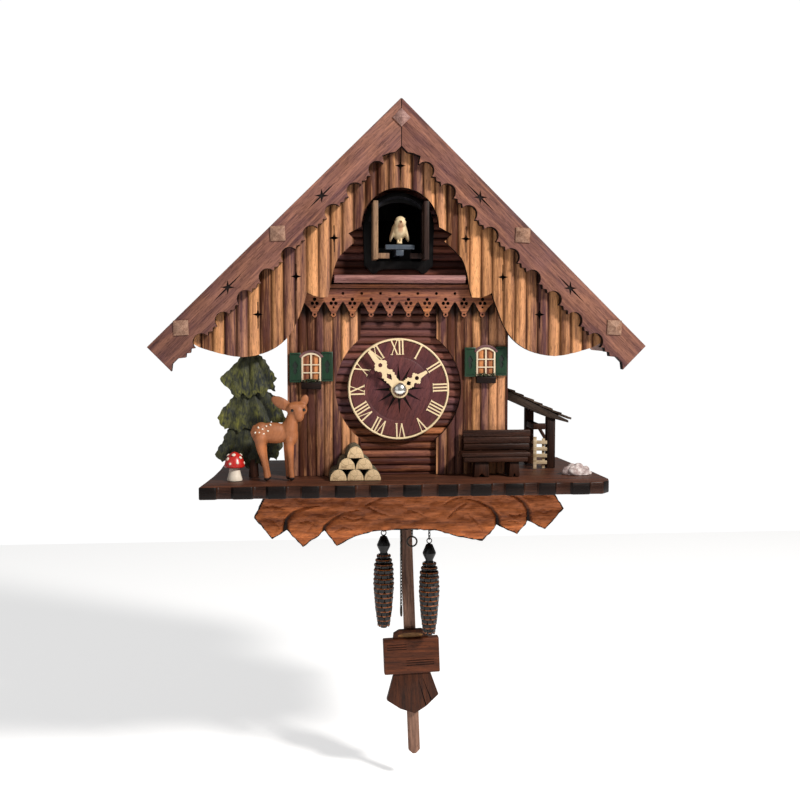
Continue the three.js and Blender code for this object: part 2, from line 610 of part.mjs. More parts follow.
function buildCuckoo() {
  const y = PERCH_BACK;
  const ball = (along, z, rx, ry, rz) =>
    new THREE.SphereGeometry(1, 12, 8).scale(rx, ry, rz).translate(0, y + along, z);
  const body = ball(2, 160.4, 5.4, 10.5, 6);
  const head = ball(-6.4, 165, 3.9, 4.4, 4);
  const beak = new THREE.ConeGeometry(1.5, 5, 8).rotateX(Math.PI).translate(0, y - 12, 165);
  const tail = block([-2.8, y + 8, 156], [2.8, y + 18, 158.4]);
  const legs = block([-1.4, y - 1.5, PERCH_TOP + GLUE_GAP], [1.4, y + 1.5, 157]);
  add('cuckoo', join(body, head, beak, tail, legs), RAW_WOOD);

  const PERCH_HALF = 9.6;
  const SLIDE_LENGTH = 46;
  const bar = block([-PERCH_HALF, y - 4, PERCH_TOP - 3.1], [PERCH_HALF, y, PERCH_TOP]);
  const slide = block([-2.5, y - 3, PERCH_TOP - 7], [2.5, y + SLIDE_LENGTH, PERCH_TOP - 2.9]);
  add('cuckoo_carriage', join(bar, slide), STEEL);

  const guideBack = MOVEMENT_BACK - 0.7;
  const guideBody = block([-11, guideBack - 8, MOVEMENT_TOP + GLUE_GAP], [11, guideBack, PERCH_TOP - 0.2]);
  const guideBore = block([-2.5 - RUN_GAP, guideBack - 9, PERCH_TOP - 7 - RUN_GAP],
    [2.5 + RUN_GAP, guideBack + 1, PERCH_TOP - 2.9 + RUN_GAP]);
  add('cuckoo_guide', cut(guideBody, guideBore), PLASTIC);
}

// ---------------------------------------------------------------- windows

function buildWindows() {
  const FRAME_HALF = 6.4;
  const FRAME_HEIGHT = 18.8;
  const ARCH_RISE = 3.2;
  const SHUTTER_WIDTH = 7.4;
  const SHUTTER_HEIGHT = 19.4;
  const SHUTTER_T = 2;
  const FRAME_DEPTH = 2.6;
  const BOX_HEIGHT = 4.6;
  const BOX_DEPTH = 5;
  const LINTEL = 1.8;
  const places = [['left', -CASE_HALF_WIDTH + 15.5, 62.4], ['right', CASE_HALF_WIDTH - 15.2, 65.6]];
  for (const [side, x, sill] of places) {
    const radius = (FRAME_HALF * FRAME_HALF + ARCH_RISE * ARCH_RISE) / (2 * ARCH_RISE);
    const reach = THREE.MathUtils.radToDeg(Math.asin(FRAME_HALF / radius));
    const spring = sill + FRAME_HEIGHT - ARCH_RISE;
    const top = arcPoints(x, spring + ARCH_RISE - radius + LINTEL, radius, 90 - reach, 90 + reach, 8);
    const frameShape = outline([[x - FRAME_HALF, sill], [x + FRAME_HALF, sill], ...top]);
    add(`window_frame_${side}`, board(frameShape, ON_CLADDING, FRAME_DEPTH), WHITE);

    const boxTop = sill - GLUE_GAP;
    add(`flower_box_${side}`, block([x - FRAME_HALF, ON_CLADDING - BOX_DEPTH, boxTop - BOX_HEIGHT],
      [x + FRAME_HALF, ON_CLADDING, boxTop]), DARK_WOOD);

    for (const [hand, sign] of SIDES) {
      const near = x + sign * (FRAME_HALF + GLUE_GAP);
      const far = near + sign * SHUTTER_WIDTH;
      const low = boxTop - (hand === 'left' ? 0.6 : 0) + GLUE_GAP;
      add(`shutter_${side}_${hand}`, block([Math.min(near, far), ON_CLADDING - SHUTTER_T, low],
        [Math.max(near, far), ON_CLADDING, low + SHUTTER_HEIGHT]), GREEN);
    }
  }
}

// ---------------------------------------------------------------- figures on the platform

// The tree's x counts from the case's left face.
function buildTree() {
  const TREE_BACK = ON_CLADDING + 4.4;
  const shape = outline([
    [-18.2, GLUE_GAP], [-40.2, GLUE_GAP], [-42.7, 10], [-47.2, 15.5], [-39.2, 31], [-45.2, 39], [-34.2, 55],
    [-36.7, 56.5], [-43.2, 64.5], [-31.2, 77], [-24.2, 82], [-16.2, 79], [-6.7, 64.5], [-9.2, 56], [-7.7, 53],
    [-0.8, 38], [-7.2, 34], [-3.2, 20], [-11.2, 12],
  ]);
  add('tree', board(shape, TREE_BACK, 9).translate(-CASE_HALF_WIDTH, 0, 0), LEAF);
}

function buildDeer() {
  const DEER_BACK = ON_CLADDING - 14.1;
  const hindLeg = smooth([[-83.6, 5], [-84.6, 12], [-83.2, 19.5], [-80.4, 24]], 4);
  const foreLeg = smooth([[-77.2, 22], [-75.9, 15], [-75.6, 8]], 3);
  const chest = smooth([[-67.6, 8], [-67.6, 18], [-65.6, 27], [-66.4, 34], [-67, 38.4]], 6);
  const rump = smooth([
    [-77, 39.6], [-84, 38.6], [-91, 37.2], [-95, 33], [-95.4, 26], [-93.6, 18], [-89.4, 9]], 9);
  const shape = outline([
    [-88.8, GLUE_GAP], [-83.6, GLUE_GAP], ...hindLeg, ...foreLeg, [-74.8, GLUE_GAP], [-67, GLUE_GAP], ...chest,
    [-64.2, 40.2], [-60.5, 43.8], [-61, 46.4], [-66, 49.6], [-70.6, 51.2], [-73, 54.8], [-76.4, 51.6],
    [-80.4, 51.4], [-84.6, 54.6], [-82.4, 49.6], [-78, 46.4], [-76.2, 42.4], ...rump,
  ]);
  add('deer', board(shape, DEER_BACK, 10), FAWN);
}

function buildMushroom() {
  const STEM_RADIUS = 4;
  const CAP_RADIUS = 6.6;
  add('mushroom', turnedUpright([
    [0, GLUE_GAP], [STEM_RADIUS + 0.8, GLUE_GAP], [STEM_RADIUS, 5], [STEM_RADIUS - 0.6, 8.6], [CAP_RADIUS, 8.8],
    [CAP_RADIUS - 0.6, 13], [CAP_RADIUS - 3, 17], [0, 18.8],
  ], 14, -CASE_HALF_WIDTH - 33.8, ON_CLADDING - 16.1), RED);
}

function buildLogPile() {
  const LOG_LENGTH = 25;
  const LOG_HALF = 5.5;
  const LOG_HEIGHT = 7.6;
  const LOG_PITCH = 10.9;
  const ROW_RISE = 7.2;
  const PILE_X = -30;
  const logs = [];
  for (let row = 0; row < 3; row++) {
    const count = 3 - row;
    for (let i = 0; i < count; i++) {
      const x = PILE_X + (i - (count - 1) / 2) * LOG_PITCH;
      const half = arcPoints(0, 0, 1, 0, 180, 8).map(([u, v]) => [x + u * LOG_HALF,
        GLUE_GAP + row * ROW_RISE + v * LOG_HEIGHT]);
      logs.push(board(outline(half), ON_CLADDING - GLUE_GAP, LOG_LENGTH));
    }
  }
  add('log_pile', join(...logs), BARK);
}

function buildBench() {
  const BACK_FACE = ON_CLADDING - 6.1;
  const SEAT_TOP = 15.5;
  const SEAT_DEPTH = 12.5;
  const x = CASE_HALF_WIDTH - 33.3;
  const back = block([x + 2.5, BACK_FACE, 16], [x + 47.5, BACK_FACE + 3, 30]);
  const seat = block([x, BACK_FACE - SEAT_DEPTH, SEAT_TOP - 5.5], [x + 45, BACK_FACE + 3, SEAT_TOP + 1]);
  const legs = [[x + 8.5, x + 18.5], [x + 31.5, x + 38.5]].map(([x0, x1]) =>
    block([x0, BACK_FACE - SEAT_DEPTH + 2.5, GLUE_GAP], [x1, BACK_FACE + 2, SEAT_TOP - 5]));
  add('bench', join(back, seat, ...legs), DARK_WOOD);
}

function buildShed() {
  const SHED_FRONT = -66;
  const SHED_BACK = -30;
  const wall = CASE_HALF_WIDTH + GLUE_GAP;
  const roof = outline([[wall, 50], [wall, 58.2], [wall + 4.9, 56.4], [wall + 46.6, 36], [wall + 46.6, 31.6],
    [wall + 30.9, 36], [wall + 18.9, 41.6]]);
  add('shed_roof', board(roof, SHED_BACK, SHED_BACK - SHED_FRONT + 2), BARK);

  const POST = 6;
  const front = wall + 31.9;
  const rear = wall + 21.9;
  const frontPost = block([front, SHED_FRONT, GLUE_GAP], [front + POST, SHED_FRONT + POST, 32.6]);
  const rearPost = block([rear, SHED_BACK - 12, GLUE_GAP], [rear + POST, SHED_BACK - 12 + POST, 36.8]);
  const rail = block([rear + 0.5, SHED_FRONT + 1, 27], [front + 2, SHED_FRONT + 5, 31]);
  const sill = block([rear + 0.5, SHED_FRONT + 1.5, 27], [rear + 5.5, SHED_BACK - 11, 31]);
  add('shed_frame', join(frontPost, rearPost, rail, sill), DARK_WOOD);

  const SLAT = 3.4;
  const slats = [4, 10.5, 17].map((z) =>
    block([wall + 21.1, SHED_FRONT - 3.2, z], [wall + 31.5, SHED_FRONT - 1.4, z + SLAT]));
  const post = block([wall + 23.9, SHED_FRONT - 4.6, GLUE_GAP], [wall + 26.9, SHED_FRONT - 1.6, 22.5]);
  add('shed_rack', join(post, ...slats), RAW_WOOD);
}

function buildStone() {
  const x = CASE_HALF_WIDTH + 45.2;
  const y = ON_CLADDING - 6.1;
  const shape = new THREE.SphereGeometry(1, 12, 8).scale(11, 8, 8).translate(x, y, 0.2);
  const ground = block([x - 18, y - 18, -20], [x + 17, y + 17, GLUE_GAP]);
  add('stone', cut(shape, ground), STONE);
}

// ---------------------------------------------------------------- works inside the case

function buildMovement() {
  const front = MOVEMENT_FRONT;
  const back = MOVEMENT_BACK;
  const body = block([-MOVEMENT_HALF_WIDTH, front, MOVEMENT_BOTTOM], [MOVEMENT_HALF_WIDTH, back, MOVEMENT_TOP]);
  const bayZ = MOVEMENT_TOP - 16;
  const bayHalf = BATTERY_RADIUS + RUN_GAP;
  const bay = block([-BATTERY_LENGTH / 2 - 1, back - 2 * bayHalf, bayZ - bayHalf],
    [BATTERY_LENGTH / 2 + 1, back + 1, bayZ + bayHalf]);
  const pinEnd = -CHAIN_DISTANCE + 3.2;
  const pins = CHAIN_WHEELS.map(({ x }) =>
    rodAlongY(x, back - 0.5, WHEEL_HEIGHT, WHEEL_PIN, pinEnd - back + 0.5, 12));
  add('movement_case', join(cut(body, bay), ...pins), PLASTIC);
  add('battery', rodAlongX(-BATTERY_LENGTH / 2, back - BATTERY_RADIUS - RUN_GAP, bayZ, BATTERY_RADIUS,
    BATTERY_LENGTH, 20), CELL);
}

function buildSpeaker() {
  const inner = -INNER_HALF_WIDTH + GLUE_GAP;
  const rim = [[0, 0], [SPEAKER_RADIUS, 0], [SPEAKER_RADIUS, 2], [SPEAKER_RADIUS - 3, 3]];
  const profile = [...rim, [10, 9], [10, 14], [0, 14]];
  const points = profile.map(([radius, depth]) => new THREE.Vector2(radius, depth));
  const geometry = new THREE.LatheGeometry(points, 20).rotateZ(-Math.PI / 2);
  add('speaker', geometry.translate(inner, SPEAKER_Y, SPEAKER_HEIGHT), PLASTIC);
}

// ---------------------------------------------------------------- pendulum

function buildPendulum() {
  const PIN_RADIUS = 1.2;
  const rodY = -PENDULUM_DISTANCE;
  const x = PIVOT_X;
  const z = PIVOT_HEIGHT;
  const plate = block([x - 6, -BACK_T - 4, z - 7], [x + 6, -BACK_T - GLUE_GAP, z + 9]);
  const arm = block([x - 2.5, rodY + ROD_T, z - 2.5], [x + 2.5, -BACK_T - 3, z + 2.5]);
  const pin = rodAlongY(PIVOT_X, rodY - ROD_T, PIVOT_HEIGHT, PIN_RADIUS, ROD_T * 2 + 1, 16);
  add('pendulum_hanger', join(plate, arm, pin), BRASS);

  const swing = new THREE.Group();
  swing.position.set(PIVOT_X, rodY, PIVOT_HEIGHT);
  swing.rotation.y = -PENDULUM_TILT;
  clock.add(swing);

  const half = ROD_WIDTH / 2;
  const TIP = 3;
  const rodShape = outline([[-half, 5], [half, 5], [half, -ROD_LENGTH + TIP], [half - TIP, -ROD_LENGTH],
    [-half + TIP, -ROD_LENGTH], [-half, -ROD_LENGTH + TIP]]);
  rodShape.holes.push(new THREE.Path(arcPoints(0, 0, PIN_RADIUS + RUN_GAP / 2, 0, 337.5, 15)
    .map(([x, z]) => new THREE.Vector2(x, z))));
  add('pendulum_rod', board(rodShape, ROD_T / 2, ROD_T), WALNUT, swing);

  const bobBack = -ROD_T / 2 - GLUE_GAP;
  const cap = board(outline([[-12.8, -223], [12.8, -223], [12.8, -230], [-12.8, -230]]), bobBack, 4.5);
  const plateShape = outline([[-20, -229], [20, -229], [20, -254.5], [-20, -254.5]]);
  const skirtShape = outline([[-13, -254], [13, -254], [18.6, -271.5], [1, -284.5], [-19, -273.5]]);
  add('pendulum_bob', join(cap, board(plateShape, bobBack, 7), board(skirtShape, bobBack, 5)), WALNUT, swing);
}

// ---------------------------------------------------------------- chains, wheels and cones

const WHEEL_PIN = 1.5;
// One idle wheel for each chain: x of its centre, half the distance between the chain's two runs,
// the height of its cone's top, and the pull ring's centre, seen from the front or edge on.
const CHAIN_WHEELS = [
  { side: 'left', x: -0.5, reach: 6.15, weightSign: -1, coneTop: -47.4, ringHeight: -101.6, edgeOn: true },
  { side: 'right', x: 19.35, reach: 6.1, weightSign: 1, coneTop: -53.6, ringHeight: -52.4, edgeOn: false },
];

function buildChains() {
  const y = -CHAIN_DISTANCE;
  for (const { side, x, reach, weightSign, coneTop, ringHeight, edgeOn } of CHAIN_WHEELS) {
    const wheelRadius = reach - CHAIN_RADIUS - RUN_GAP;
    const wheel = turnedAlongY([
      [WHEEL_PIN + RUN_GAP / 2, y - 2.5], [wheelRadius, y - 2.5], [wheelRadius - 1, y], [wheelRadius, y + 2.5],
      [WHEEL_PIN + RUN_GAP / 2, y + 2.5], [WHEEL_PIN + RUN_GAP / 2, y - 2.5],
    ], 16, x, WHEEL_HEIGHT);
    add(`chain_wheel_${side}`, wheel, BRASS);

    const weightX = x + weightSign * reach;
    const pullX = x - weightSign * reach;
    const coneStart = coneTop + GLUE_GAP;
    const fall = rodAlongZ(weightX, y, coneStart, CHAIN_RADIUS, WHEEL_HEIGHT - coneStart, 8);
    add(`chain_${side}_weight`, fall, GUNMETAL);

    const profile = [
      [0, 0], [3, 0.4], [3.9, 3.5], [5.6, 14], [CONE_RADIUS, 29], [6.3, 42], [4.2, 51], [2.6, 53.5],
      [4.8, 59], [2.4, 65], [0, CONE_LENGTH]];
    const conePoints = profile.map(([radius, z]) => [radius, coneTop - CONE_LENGTH + z]);
    add(`cone_${side}`, turnedUpright(conePoints, 12, weightX, y), CONE_PAINT);

    const ring = new THREE.TorusGeometry(RING_RADIUS, RING_WIRE, 6, 16);
    if (edgeOn) ring.rotateY(Math.PI / 2).rotateX(Math.PI / 2);
    else ring.rotateX(Math.PI / 2);
    ring.translate(pullX, y, ringHeight);
    const ringTop = ringHeight + RING_RADIUS;
    const run = rodAlongZ(pullX, y, ringTop, CHAIN_RADIUS, WHEEL_HEIGHT - ringTop, 8);
    add(`chain_${side}_pull`, join(ring, run), GUNMETAL);
  }
}

// ---------------------------------------------------------------- assembly

buildSideWalls();
buildFront();
buildBack();
buildRoof();
buildGablePanel();
buildTrim();
buildPlatform();
buildCarvedBase();
buildDial();
buildHands();
buildDoorFrame();
buildDoors();
buildCuckoo();
buildWindows();
buildTree();
buildDeer();
buildMushroom();
buildLogPile();
buildBench();
buildShed();
buildStone();
buildMovement();
buildSpeaker();
buildPendulum();
buildChains();

const model = new THREE.Group();
model.add(clock);
export default model;
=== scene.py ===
import math
import random

import bpy
from bpy.props import FloatProperty, FloatVectorProperty, PointerProperty
from mathutils import Matrix, Vector, noise


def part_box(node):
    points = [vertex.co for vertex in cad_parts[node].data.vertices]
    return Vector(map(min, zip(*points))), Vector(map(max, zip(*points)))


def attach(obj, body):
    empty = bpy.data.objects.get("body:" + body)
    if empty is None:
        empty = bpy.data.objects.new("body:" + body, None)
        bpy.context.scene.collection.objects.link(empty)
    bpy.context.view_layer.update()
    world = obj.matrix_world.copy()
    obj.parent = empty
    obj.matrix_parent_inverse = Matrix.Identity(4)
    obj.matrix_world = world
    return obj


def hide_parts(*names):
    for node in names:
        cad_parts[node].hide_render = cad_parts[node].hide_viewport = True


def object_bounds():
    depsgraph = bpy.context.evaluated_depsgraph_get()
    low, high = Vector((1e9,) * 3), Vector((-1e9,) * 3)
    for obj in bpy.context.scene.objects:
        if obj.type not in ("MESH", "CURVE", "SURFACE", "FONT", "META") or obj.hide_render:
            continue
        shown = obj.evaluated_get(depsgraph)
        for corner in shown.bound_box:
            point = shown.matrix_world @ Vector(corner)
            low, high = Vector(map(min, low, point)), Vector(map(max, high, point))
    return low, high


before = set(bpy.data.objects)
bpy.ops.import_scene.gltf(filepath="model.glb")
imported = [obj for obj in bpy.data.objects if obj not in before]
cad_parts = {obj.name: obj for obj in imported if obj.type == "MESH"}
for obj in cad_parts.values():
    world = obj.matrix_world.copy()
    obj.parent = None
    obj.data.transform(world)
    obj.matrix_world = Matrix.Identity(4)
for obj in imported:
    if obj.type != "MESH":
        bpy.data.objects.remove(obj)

bl_info = {
    "name": "Chalet Cuckoo Clock",
    "version": (1, 0, 0),
    "blender": (4, 5, 0),
    "location": "3D View > Sidebar > Cuckoo Clock",
    "description": "Dresses a wall-hung chalet cuckoo clock: roof, carvings, dial, figures, cones and pendulum",
    "category": "Object",
}

CAD_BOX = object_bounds()
MM = 0.001
PLATFORM_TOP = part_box("platform")[1].z
FACING = (math.pi / 2, 0, 0)   # turns a ring's axis from upright to front and back


# ------------------------------------------------------------------ places and outlines (millimetres)

def spot(x, y, z):
    """A point in the scene from millimetres, the height counted from the platform's top."""
    return Vector((x * MM, y * MM, PLATFORM_TOP + z * MM))


def span(node):
    """The lowest and highest corners of a node, in the same millimetres as spot."""
    low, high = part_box(node)
    datum = Vector((0, 0, PLATFORM_TOP))
    return (low - datum) / MM, (high - datum) / MM


def arc(x, z, radius, start, end, steps):
    """Points along a circular arc; the angles are in degrees from +X towards +Z."""
    points = []
    for i in range(steps + 1):
        angle = math.radians(start + (end - start) * i / steps)
        points.append((x + radius * math.cos(angle), z + radius * math.sin(angle)))
    return points


def through(points, steps):
    """Points of a smooth curve through the given ones, `steps` to each stretch."""
    curve = []
    last = len(points) - 1
    for i in range(last):
        p0, p1, p2, p3 = (points[min(max(j, 0), last)] for j in (i - 1, i, i + 1, i + 2))
        for s in range(steps):
            t = s / steps
            curve.append(tuple(
                0.5 * (2 * b + (c - a) * t + (2 * a - 5 * b + 4 * c - d) * t * t
                       + (3 * b - a - 3 * c + d) * t ** 3)
                for a, b, c, d in zip(p0, p1, p2, p3)))
    return curve + [points[-1]]


def both_sides(right_half):
    """A whole outline from its right half, listed from the top centre down to the bottom centre."""
    return list(right_half) + [(-x, z) for x, z in reversed(right_half) if x > 0]


def swung(points, degrees, x=0.0, z=0.0):
    """The points turned clockwise about the origin, as seen from the front, and then moved."""
    c, s = math.cos(math.radians(degrees)), math.sin(math.radians(degrees))
    return [(x + u * c + v * s, z - u * s + v * c) for u, v in points]


def ragged(points, step, amount, seed):
    """The outline broken into short steps, each knocked a little in or out."""
    chance = random.Random(seed)
    rough = []
    for (x0, z0), (x1, z1) in zip(points, points[1:] + points[:1]):
        length = math.hypot(x1 - x0, z1 - z0)
        count = max(1, int(length / step))
        for i in range(count):
            t = i / count
            push = chance.uniform(-amount, amount) * (0.35 if i == 0 else 1)
            nx, nz = (z1 - z0) / length, -(x1 - x0) / length
            rough.append((x0 + (x1 - x0) * t + nx * push, z0 + (z1 - z0) * t + nz * push))
    return rough


# ------------------------------------------------------------------ modelling by hand

def alone(piece):
    """Leaves only this piece selected, and makes it the active one."""
    bpy.ops.object.select_all(action='DESELECT')
    piece.select_set(True)
    bpy.context.view_layer.objects.active = piece


def fresh(name):
    """Names the primitive that was just added, with its place put into its mesh."""
    piece = bpy.context.object
    alone(piece)
    bpy.ops.object.transform_apply(location=True, rotation=True, scale=True)
    piece.name = name
    piece.data.name = name
    return piece


def edit(piece):
    """Opens a piece in edit mode with nothing selected."""
    alone(piece)
    bpy.ops.object.mode_set(mode='EDIT')
    bpy.ops.mesh.select_all(action='DESELECT')


def done_editing():
    bpy.ops.object.mode_set(mode='OBJECT')


def mend(piece):
    """Closes seams and poles, and turns every face outwards."""
    edit(piece)
    bpy.ops.mesh.select_all(action='SELECT')
    bpy.ops.mesh.remove_doubles(threshold=2e-6)
    bpy.ops.mesh.normals_make_consistent(inside=False)
    done_editing()


def swept(name, corners, sweep):
    """A flat outline, filled and drawn out along `sweep`."""
    bpy.ops.mesh.primitive_circle_add(vertices=len(corners), radius=MM)
    piece = fresh(name)
    for vertex, corner in zip(piece.data.vertices, corners):
        vertex.co = corner
    edit(piece)
    bpy.ops.mesh.select_all(action='SELECT')
    bpy.ops.mesh.edge_face_add()
    bpy.ops.mesh.extrude_region_move(TRANSFORM_OT_translate={"value": sweep})
    bpy.ops.mesh.select_all(action='SELECT')
    bpy.ops.mesh.normals_make_consistent(inside=False)
    done_editing()
    return piece


def sawn(name, points, back, front):
    """A board whose outline is seen from the front."""
    return swept(name, [spot(x, back, z) for x, z in points], Vector((0, (front - back) * MM, 0)))


def laid(name, points, bottom, top):
    """A slab whose outline is seen from above."""
    return swept(name, [spot(x, y, bottom) for x, y in points], Vector((0, 0, (top - bottom) * MM)))


def moulded(name, points, left, right):
    """A length of moulding whose outline, in y and z, is seen from the side."""
    return swept(name, [spot(left, y, z) for y, z in points], Vector(((right - left) * MM, 0, 0)))


def block(name, low, high):
    """A squared piece of wood between two corners."""
    low, high = spot(*low), spot(*high)
    bpy.ops.mesh.primitive_cube_add(size=1, location=(low + high) / 2, scale=high - low)
    return fresh(name)


def ball(name, centre, radii, turn=(0, 0, 0), segments=20, rings=12):
    bpy.ops.mesh.primitive_uv_sphere_add(
        segments=segments, ring_count=rings, radius=MM, location=spot(*centre), scale=radii,
        rotation=[math.radians(angle) for angle in turn])
    return fresh(name)


def hoop(name, centre, radius, wire, turn, around, across):
    """A ring bent from round wire."""
    bpy.ops.mesh.primitive_torus_add(major_segments=around, minor_segments=across, major_radius=radius * MM,
                                     minor_radius=wire * MM, location=centre, rotation=turn)
    return fresh(name)


def rod(name, start, end, radius, end_radius=None, sides=16):
    """A round or tapering rod between two points."""
    a, b = spot(*start), spot(*end)
    bpy.ops.mesh.primitive_cone_add(
        vertices=sides, radius1=radius * MM, radius2=(radius if end_radius is None else end_radius) * MM,
        depth=(b - a).length, location=(a + b) / 2, rotation=(b - a).to_track_quat('Z', 'Y').to_euler())
    return fresh(name)


def limb(name, joints, sides=14):
    """Rounded segments through (x, y, z, radius) stations, as one piece."""
    parts = []
    for x, y, z, radius in joints:
        parts.append(ball("knuckle", (x, y, z), (radius,) * 3, segments=sides, rings=10))
    for (x0, y0, z0, r0), (x1, y1, z1, r1) in zip(joints, joints[1:]):
        parts.append(rod("bone", (x0, y0, z0), (x1, y1, z1), r0, r1, sides))
    return together(name, parts)


def turned(name, profile, centre, axis, steps=32, closed=False):
    """A piece turned on a lathe; the profile is (radius, distance along the axis) in millimetres."""
    axis = Vector(axis)
    side = Vector((0, 0, 1)) if abs(axis.z) < 0.5 else Vector((1, 0, 0))
    middle = spot(*centre)
    bpy.ops.mesh.primitive_circle_add(vertices=len(profile), radius=MM)
    piece = fresh(name)
    for vertex, (radius, along) in zip(piece.data.vertices, profile):
        vertex.co = middle + side * radius * MM + axis * along * MM
    last = len(profile) - 1
    if not closed:
        for edge in piece.data.edges:
            edge.select = set(edge.vertices) == {0, last}
        for vertex in piece.data.vertices:
            vertex.select = vertex.index in (0, last)
        alone(piece)
        bpy.ops.object.mode_set(mode='EDIT')
        bpy.ops.mesh.select_mode(type='EDGE')
        bpy.ops.mesh.delete(type='EDGE')
        bpy.ops.mesh.select_mode(type='VERT')
    else:
        edit(piece)
    bpy.ops.mesh.select_all(action='SELECT')
    bpy.ops.mesh.spin(steps=steps, angle=math.tau, center=middle, axis=axis)
    done_editing()
    mend(piece)
    return piece


def together(name, parts):
    """Joins several parts into one piece."""
    alone(parts[0])
    for part in parts:
        part.select_set(True)
    bpy.ops.object.join()
    piece = bpy.context.object
    piece.name = name
    piece.data.name = name
    return piece


def copied(piece, name, matrix):
    """Another of the same piece, with a mesh of its own, put in place by a matrix."""
    twin = piece.copy()
    twin.data = piece.data.copy()
    bpy.context.scene.collection.objects.link(twin)
    twin.data.transform(matrix)
    twin.name = name
    twin.data.name = name
    return twin


def modified(piece, kind, **settings):
    """Puts one modifier on a piece and applies it."""
    modifier = piece.modifiers.new("Finish", kind)
    for key, value in settings.items():
        setattr(modifier, key, value)
    alone(piece)
    bpy.ops.object.modifier_apply(modifier=modifier.name)
    return piece


def eased(piece, width, segments=2, angle=30):
    """Takes the sharpness off the edges."""
    return modified(piece, 'BEVEL', width=width * MM, segments=segments, limit_method='ANGLE',
                    angle_limit=math.radians(angle), use_clamp_overlap=True)


def carve(piece, tool, how='DIFFERENCE'):
    """Cuts a tool out of a piece, or keeps only what lies inside it; the cut takes the tool's finish."""
    modified(piece, 'BOOLEAN', operation=how, object=tool, solver='EXACT', material_mode='TRANSFER')
    bpy.data.objects.remove(tool)
    return piece


def cut(piece, outline, back, front, finish=None, how='DIFFERENCE'):
    """Saws an outline out of a piece, or keeps only what lies inside it."""
    return carve(piece, coated(sawn("cutter", outline, back, front), finish or cut_edge()), how)


def blended(piece, voxel, smoothing=6):
    """Melts overlapping parts into one smooth skin."""
    modified(piece, 'REMESH', mode='VOXEL', voxel_size=voxel * MM)
    return modified(piece, 'SMOOTH', factor=0.5, iterations=smoothing)


def coated(piece, *finishes):
    piece.data.materials.clear()
    for finish in finishes:
        piece.data.materials.append(finish)
    return piece


def repaint(piece, index, test):
    """Gives a second finish to the faces that pass a test of their centre and normal."""
    for face in piece.data.polygons:
        if test(face.center, face.normal):
            face.material_index = index
    return piece


def edges_dark(piece, index=1, limit=0.85):
    """The sawn edges of a board take the dark finish."""
    return repaint(piece, index, lambda centre, normal: abs(normal.y) < limit)


def settle(piece, body, slot, *nodes, smooth=38):
    """Shades a finished piece, puts it on its body and hides the nodes it stands for; its slot is not used."""
    alone(piece)
    bpy.ops.object.transform_apply(location=True, rotation=True, scale=True)
    bpy.ops.object.shade_smooth_by_angle(angle=math.radians(smooth))
    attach(piece, body)
    if nodes:
        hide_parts(*nodes)
    return piece


def dress(node, finish):
    """Gives a node of the frame a better finish."""
    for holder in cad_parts[node].material_slots:
        holder.link = 'OBJECT'
        holder.material = finish


def relief(name, low, high, step, front, back, depth):
    """A carved panel: a fine grid pressed in by depth(x, z) millimetres, its back drawn out behind it."""
    width, height = high[0] - low[0], high[1] - low[1]
    bpy.ops.mesh.primitive_grid_add(
        x_subdivisions=max(2, round(width / step)), y_subdivisions=max(2, round(height / step)), size=1)
    piece = fresh(name)
    for vertex in piece.data.vertices:
        x = low[0] + (vertex.co.x + 0.5) * width
        z = low[1] + (vertex.co.y + 0.5) * height
        vertex.co = spot(x, front + depth(x, z), z)
    edit(piece)
    bpy.ops.mesh.select_all(action='SELECT')
    bpy.ops.mesh.extrude_region_move(TRANSFORM_OT_translate={"value": (0, (back - front) * MM, 0)})
    bpy.ops.mesh.select_all(action='SELECT')
    bpy.ops.mesh.normals_make_consistent(inside=False)
    done_editing()
    return piece


# ------------------------------------------------------------------ finishes

def tone(code):
    """A linear colour from a hex code."""
    parts = [int(code[i:i + 2], 16) / 255 for i in (0, 2, 4)]
    return tuple(c / 12.92 if c <= 0.04045 else ((c + 0.055) / 1.055) ** 2.4 for c in parts)


def opaque(colour):
    return (*tuple(colour)[:3], 1.0)


class Link:
    """A shader socket that can be reckoned with like a number."""

    def __init__(self, finish, socket):
        self.finish = finish
        self.socket = socket

    def _reckon(self, operation, *values, clamp=False):
        return self.finish.node("ShaderNodeMath", {"operation": operation, "use_clamp": clamp},
                                dict(enumerate(values)))

    def __add__(self, other):
        return self._reckon('ADD', self, other)

    def __sub__(self, other):
        return self._reckon('SUBTRACT', self, other)

    def __rsub__(self, other):
        return self._reckon('SUBTRACT', other, self)

    def __mul__(self, other):
        return self._reckon('MULTIPLY', self, other)

    def __truediv__(self, other):
        return self._reckon('DIVIDE', self, other)

    def __pow__(self, other):
        return self._reckon('POWER', self, other)

    def __gt__(self, other):
        return self._reckon('GREATER_THAN', self, other)

    def __lt__(self, other):
        return self._reckon('LESS_THAN', self, other)

    def __abs__(self):
        return self._reckon('ABSOLUTE', self)

    __radd__ = __add__
    __rmul__ = __mul__

    def floor(self):
        return self._reckon('FLOOR', self)

    def clamp(self):
        return self._reckon('MULTIPLY', self, 1.0, clamp=True)

    def between(self, start, end):
        """0 before the start, 1 after the end, and a straight rise from one to the other."""
        return self._reckon('DIVIDE', self - start, end - start, clamp=True)


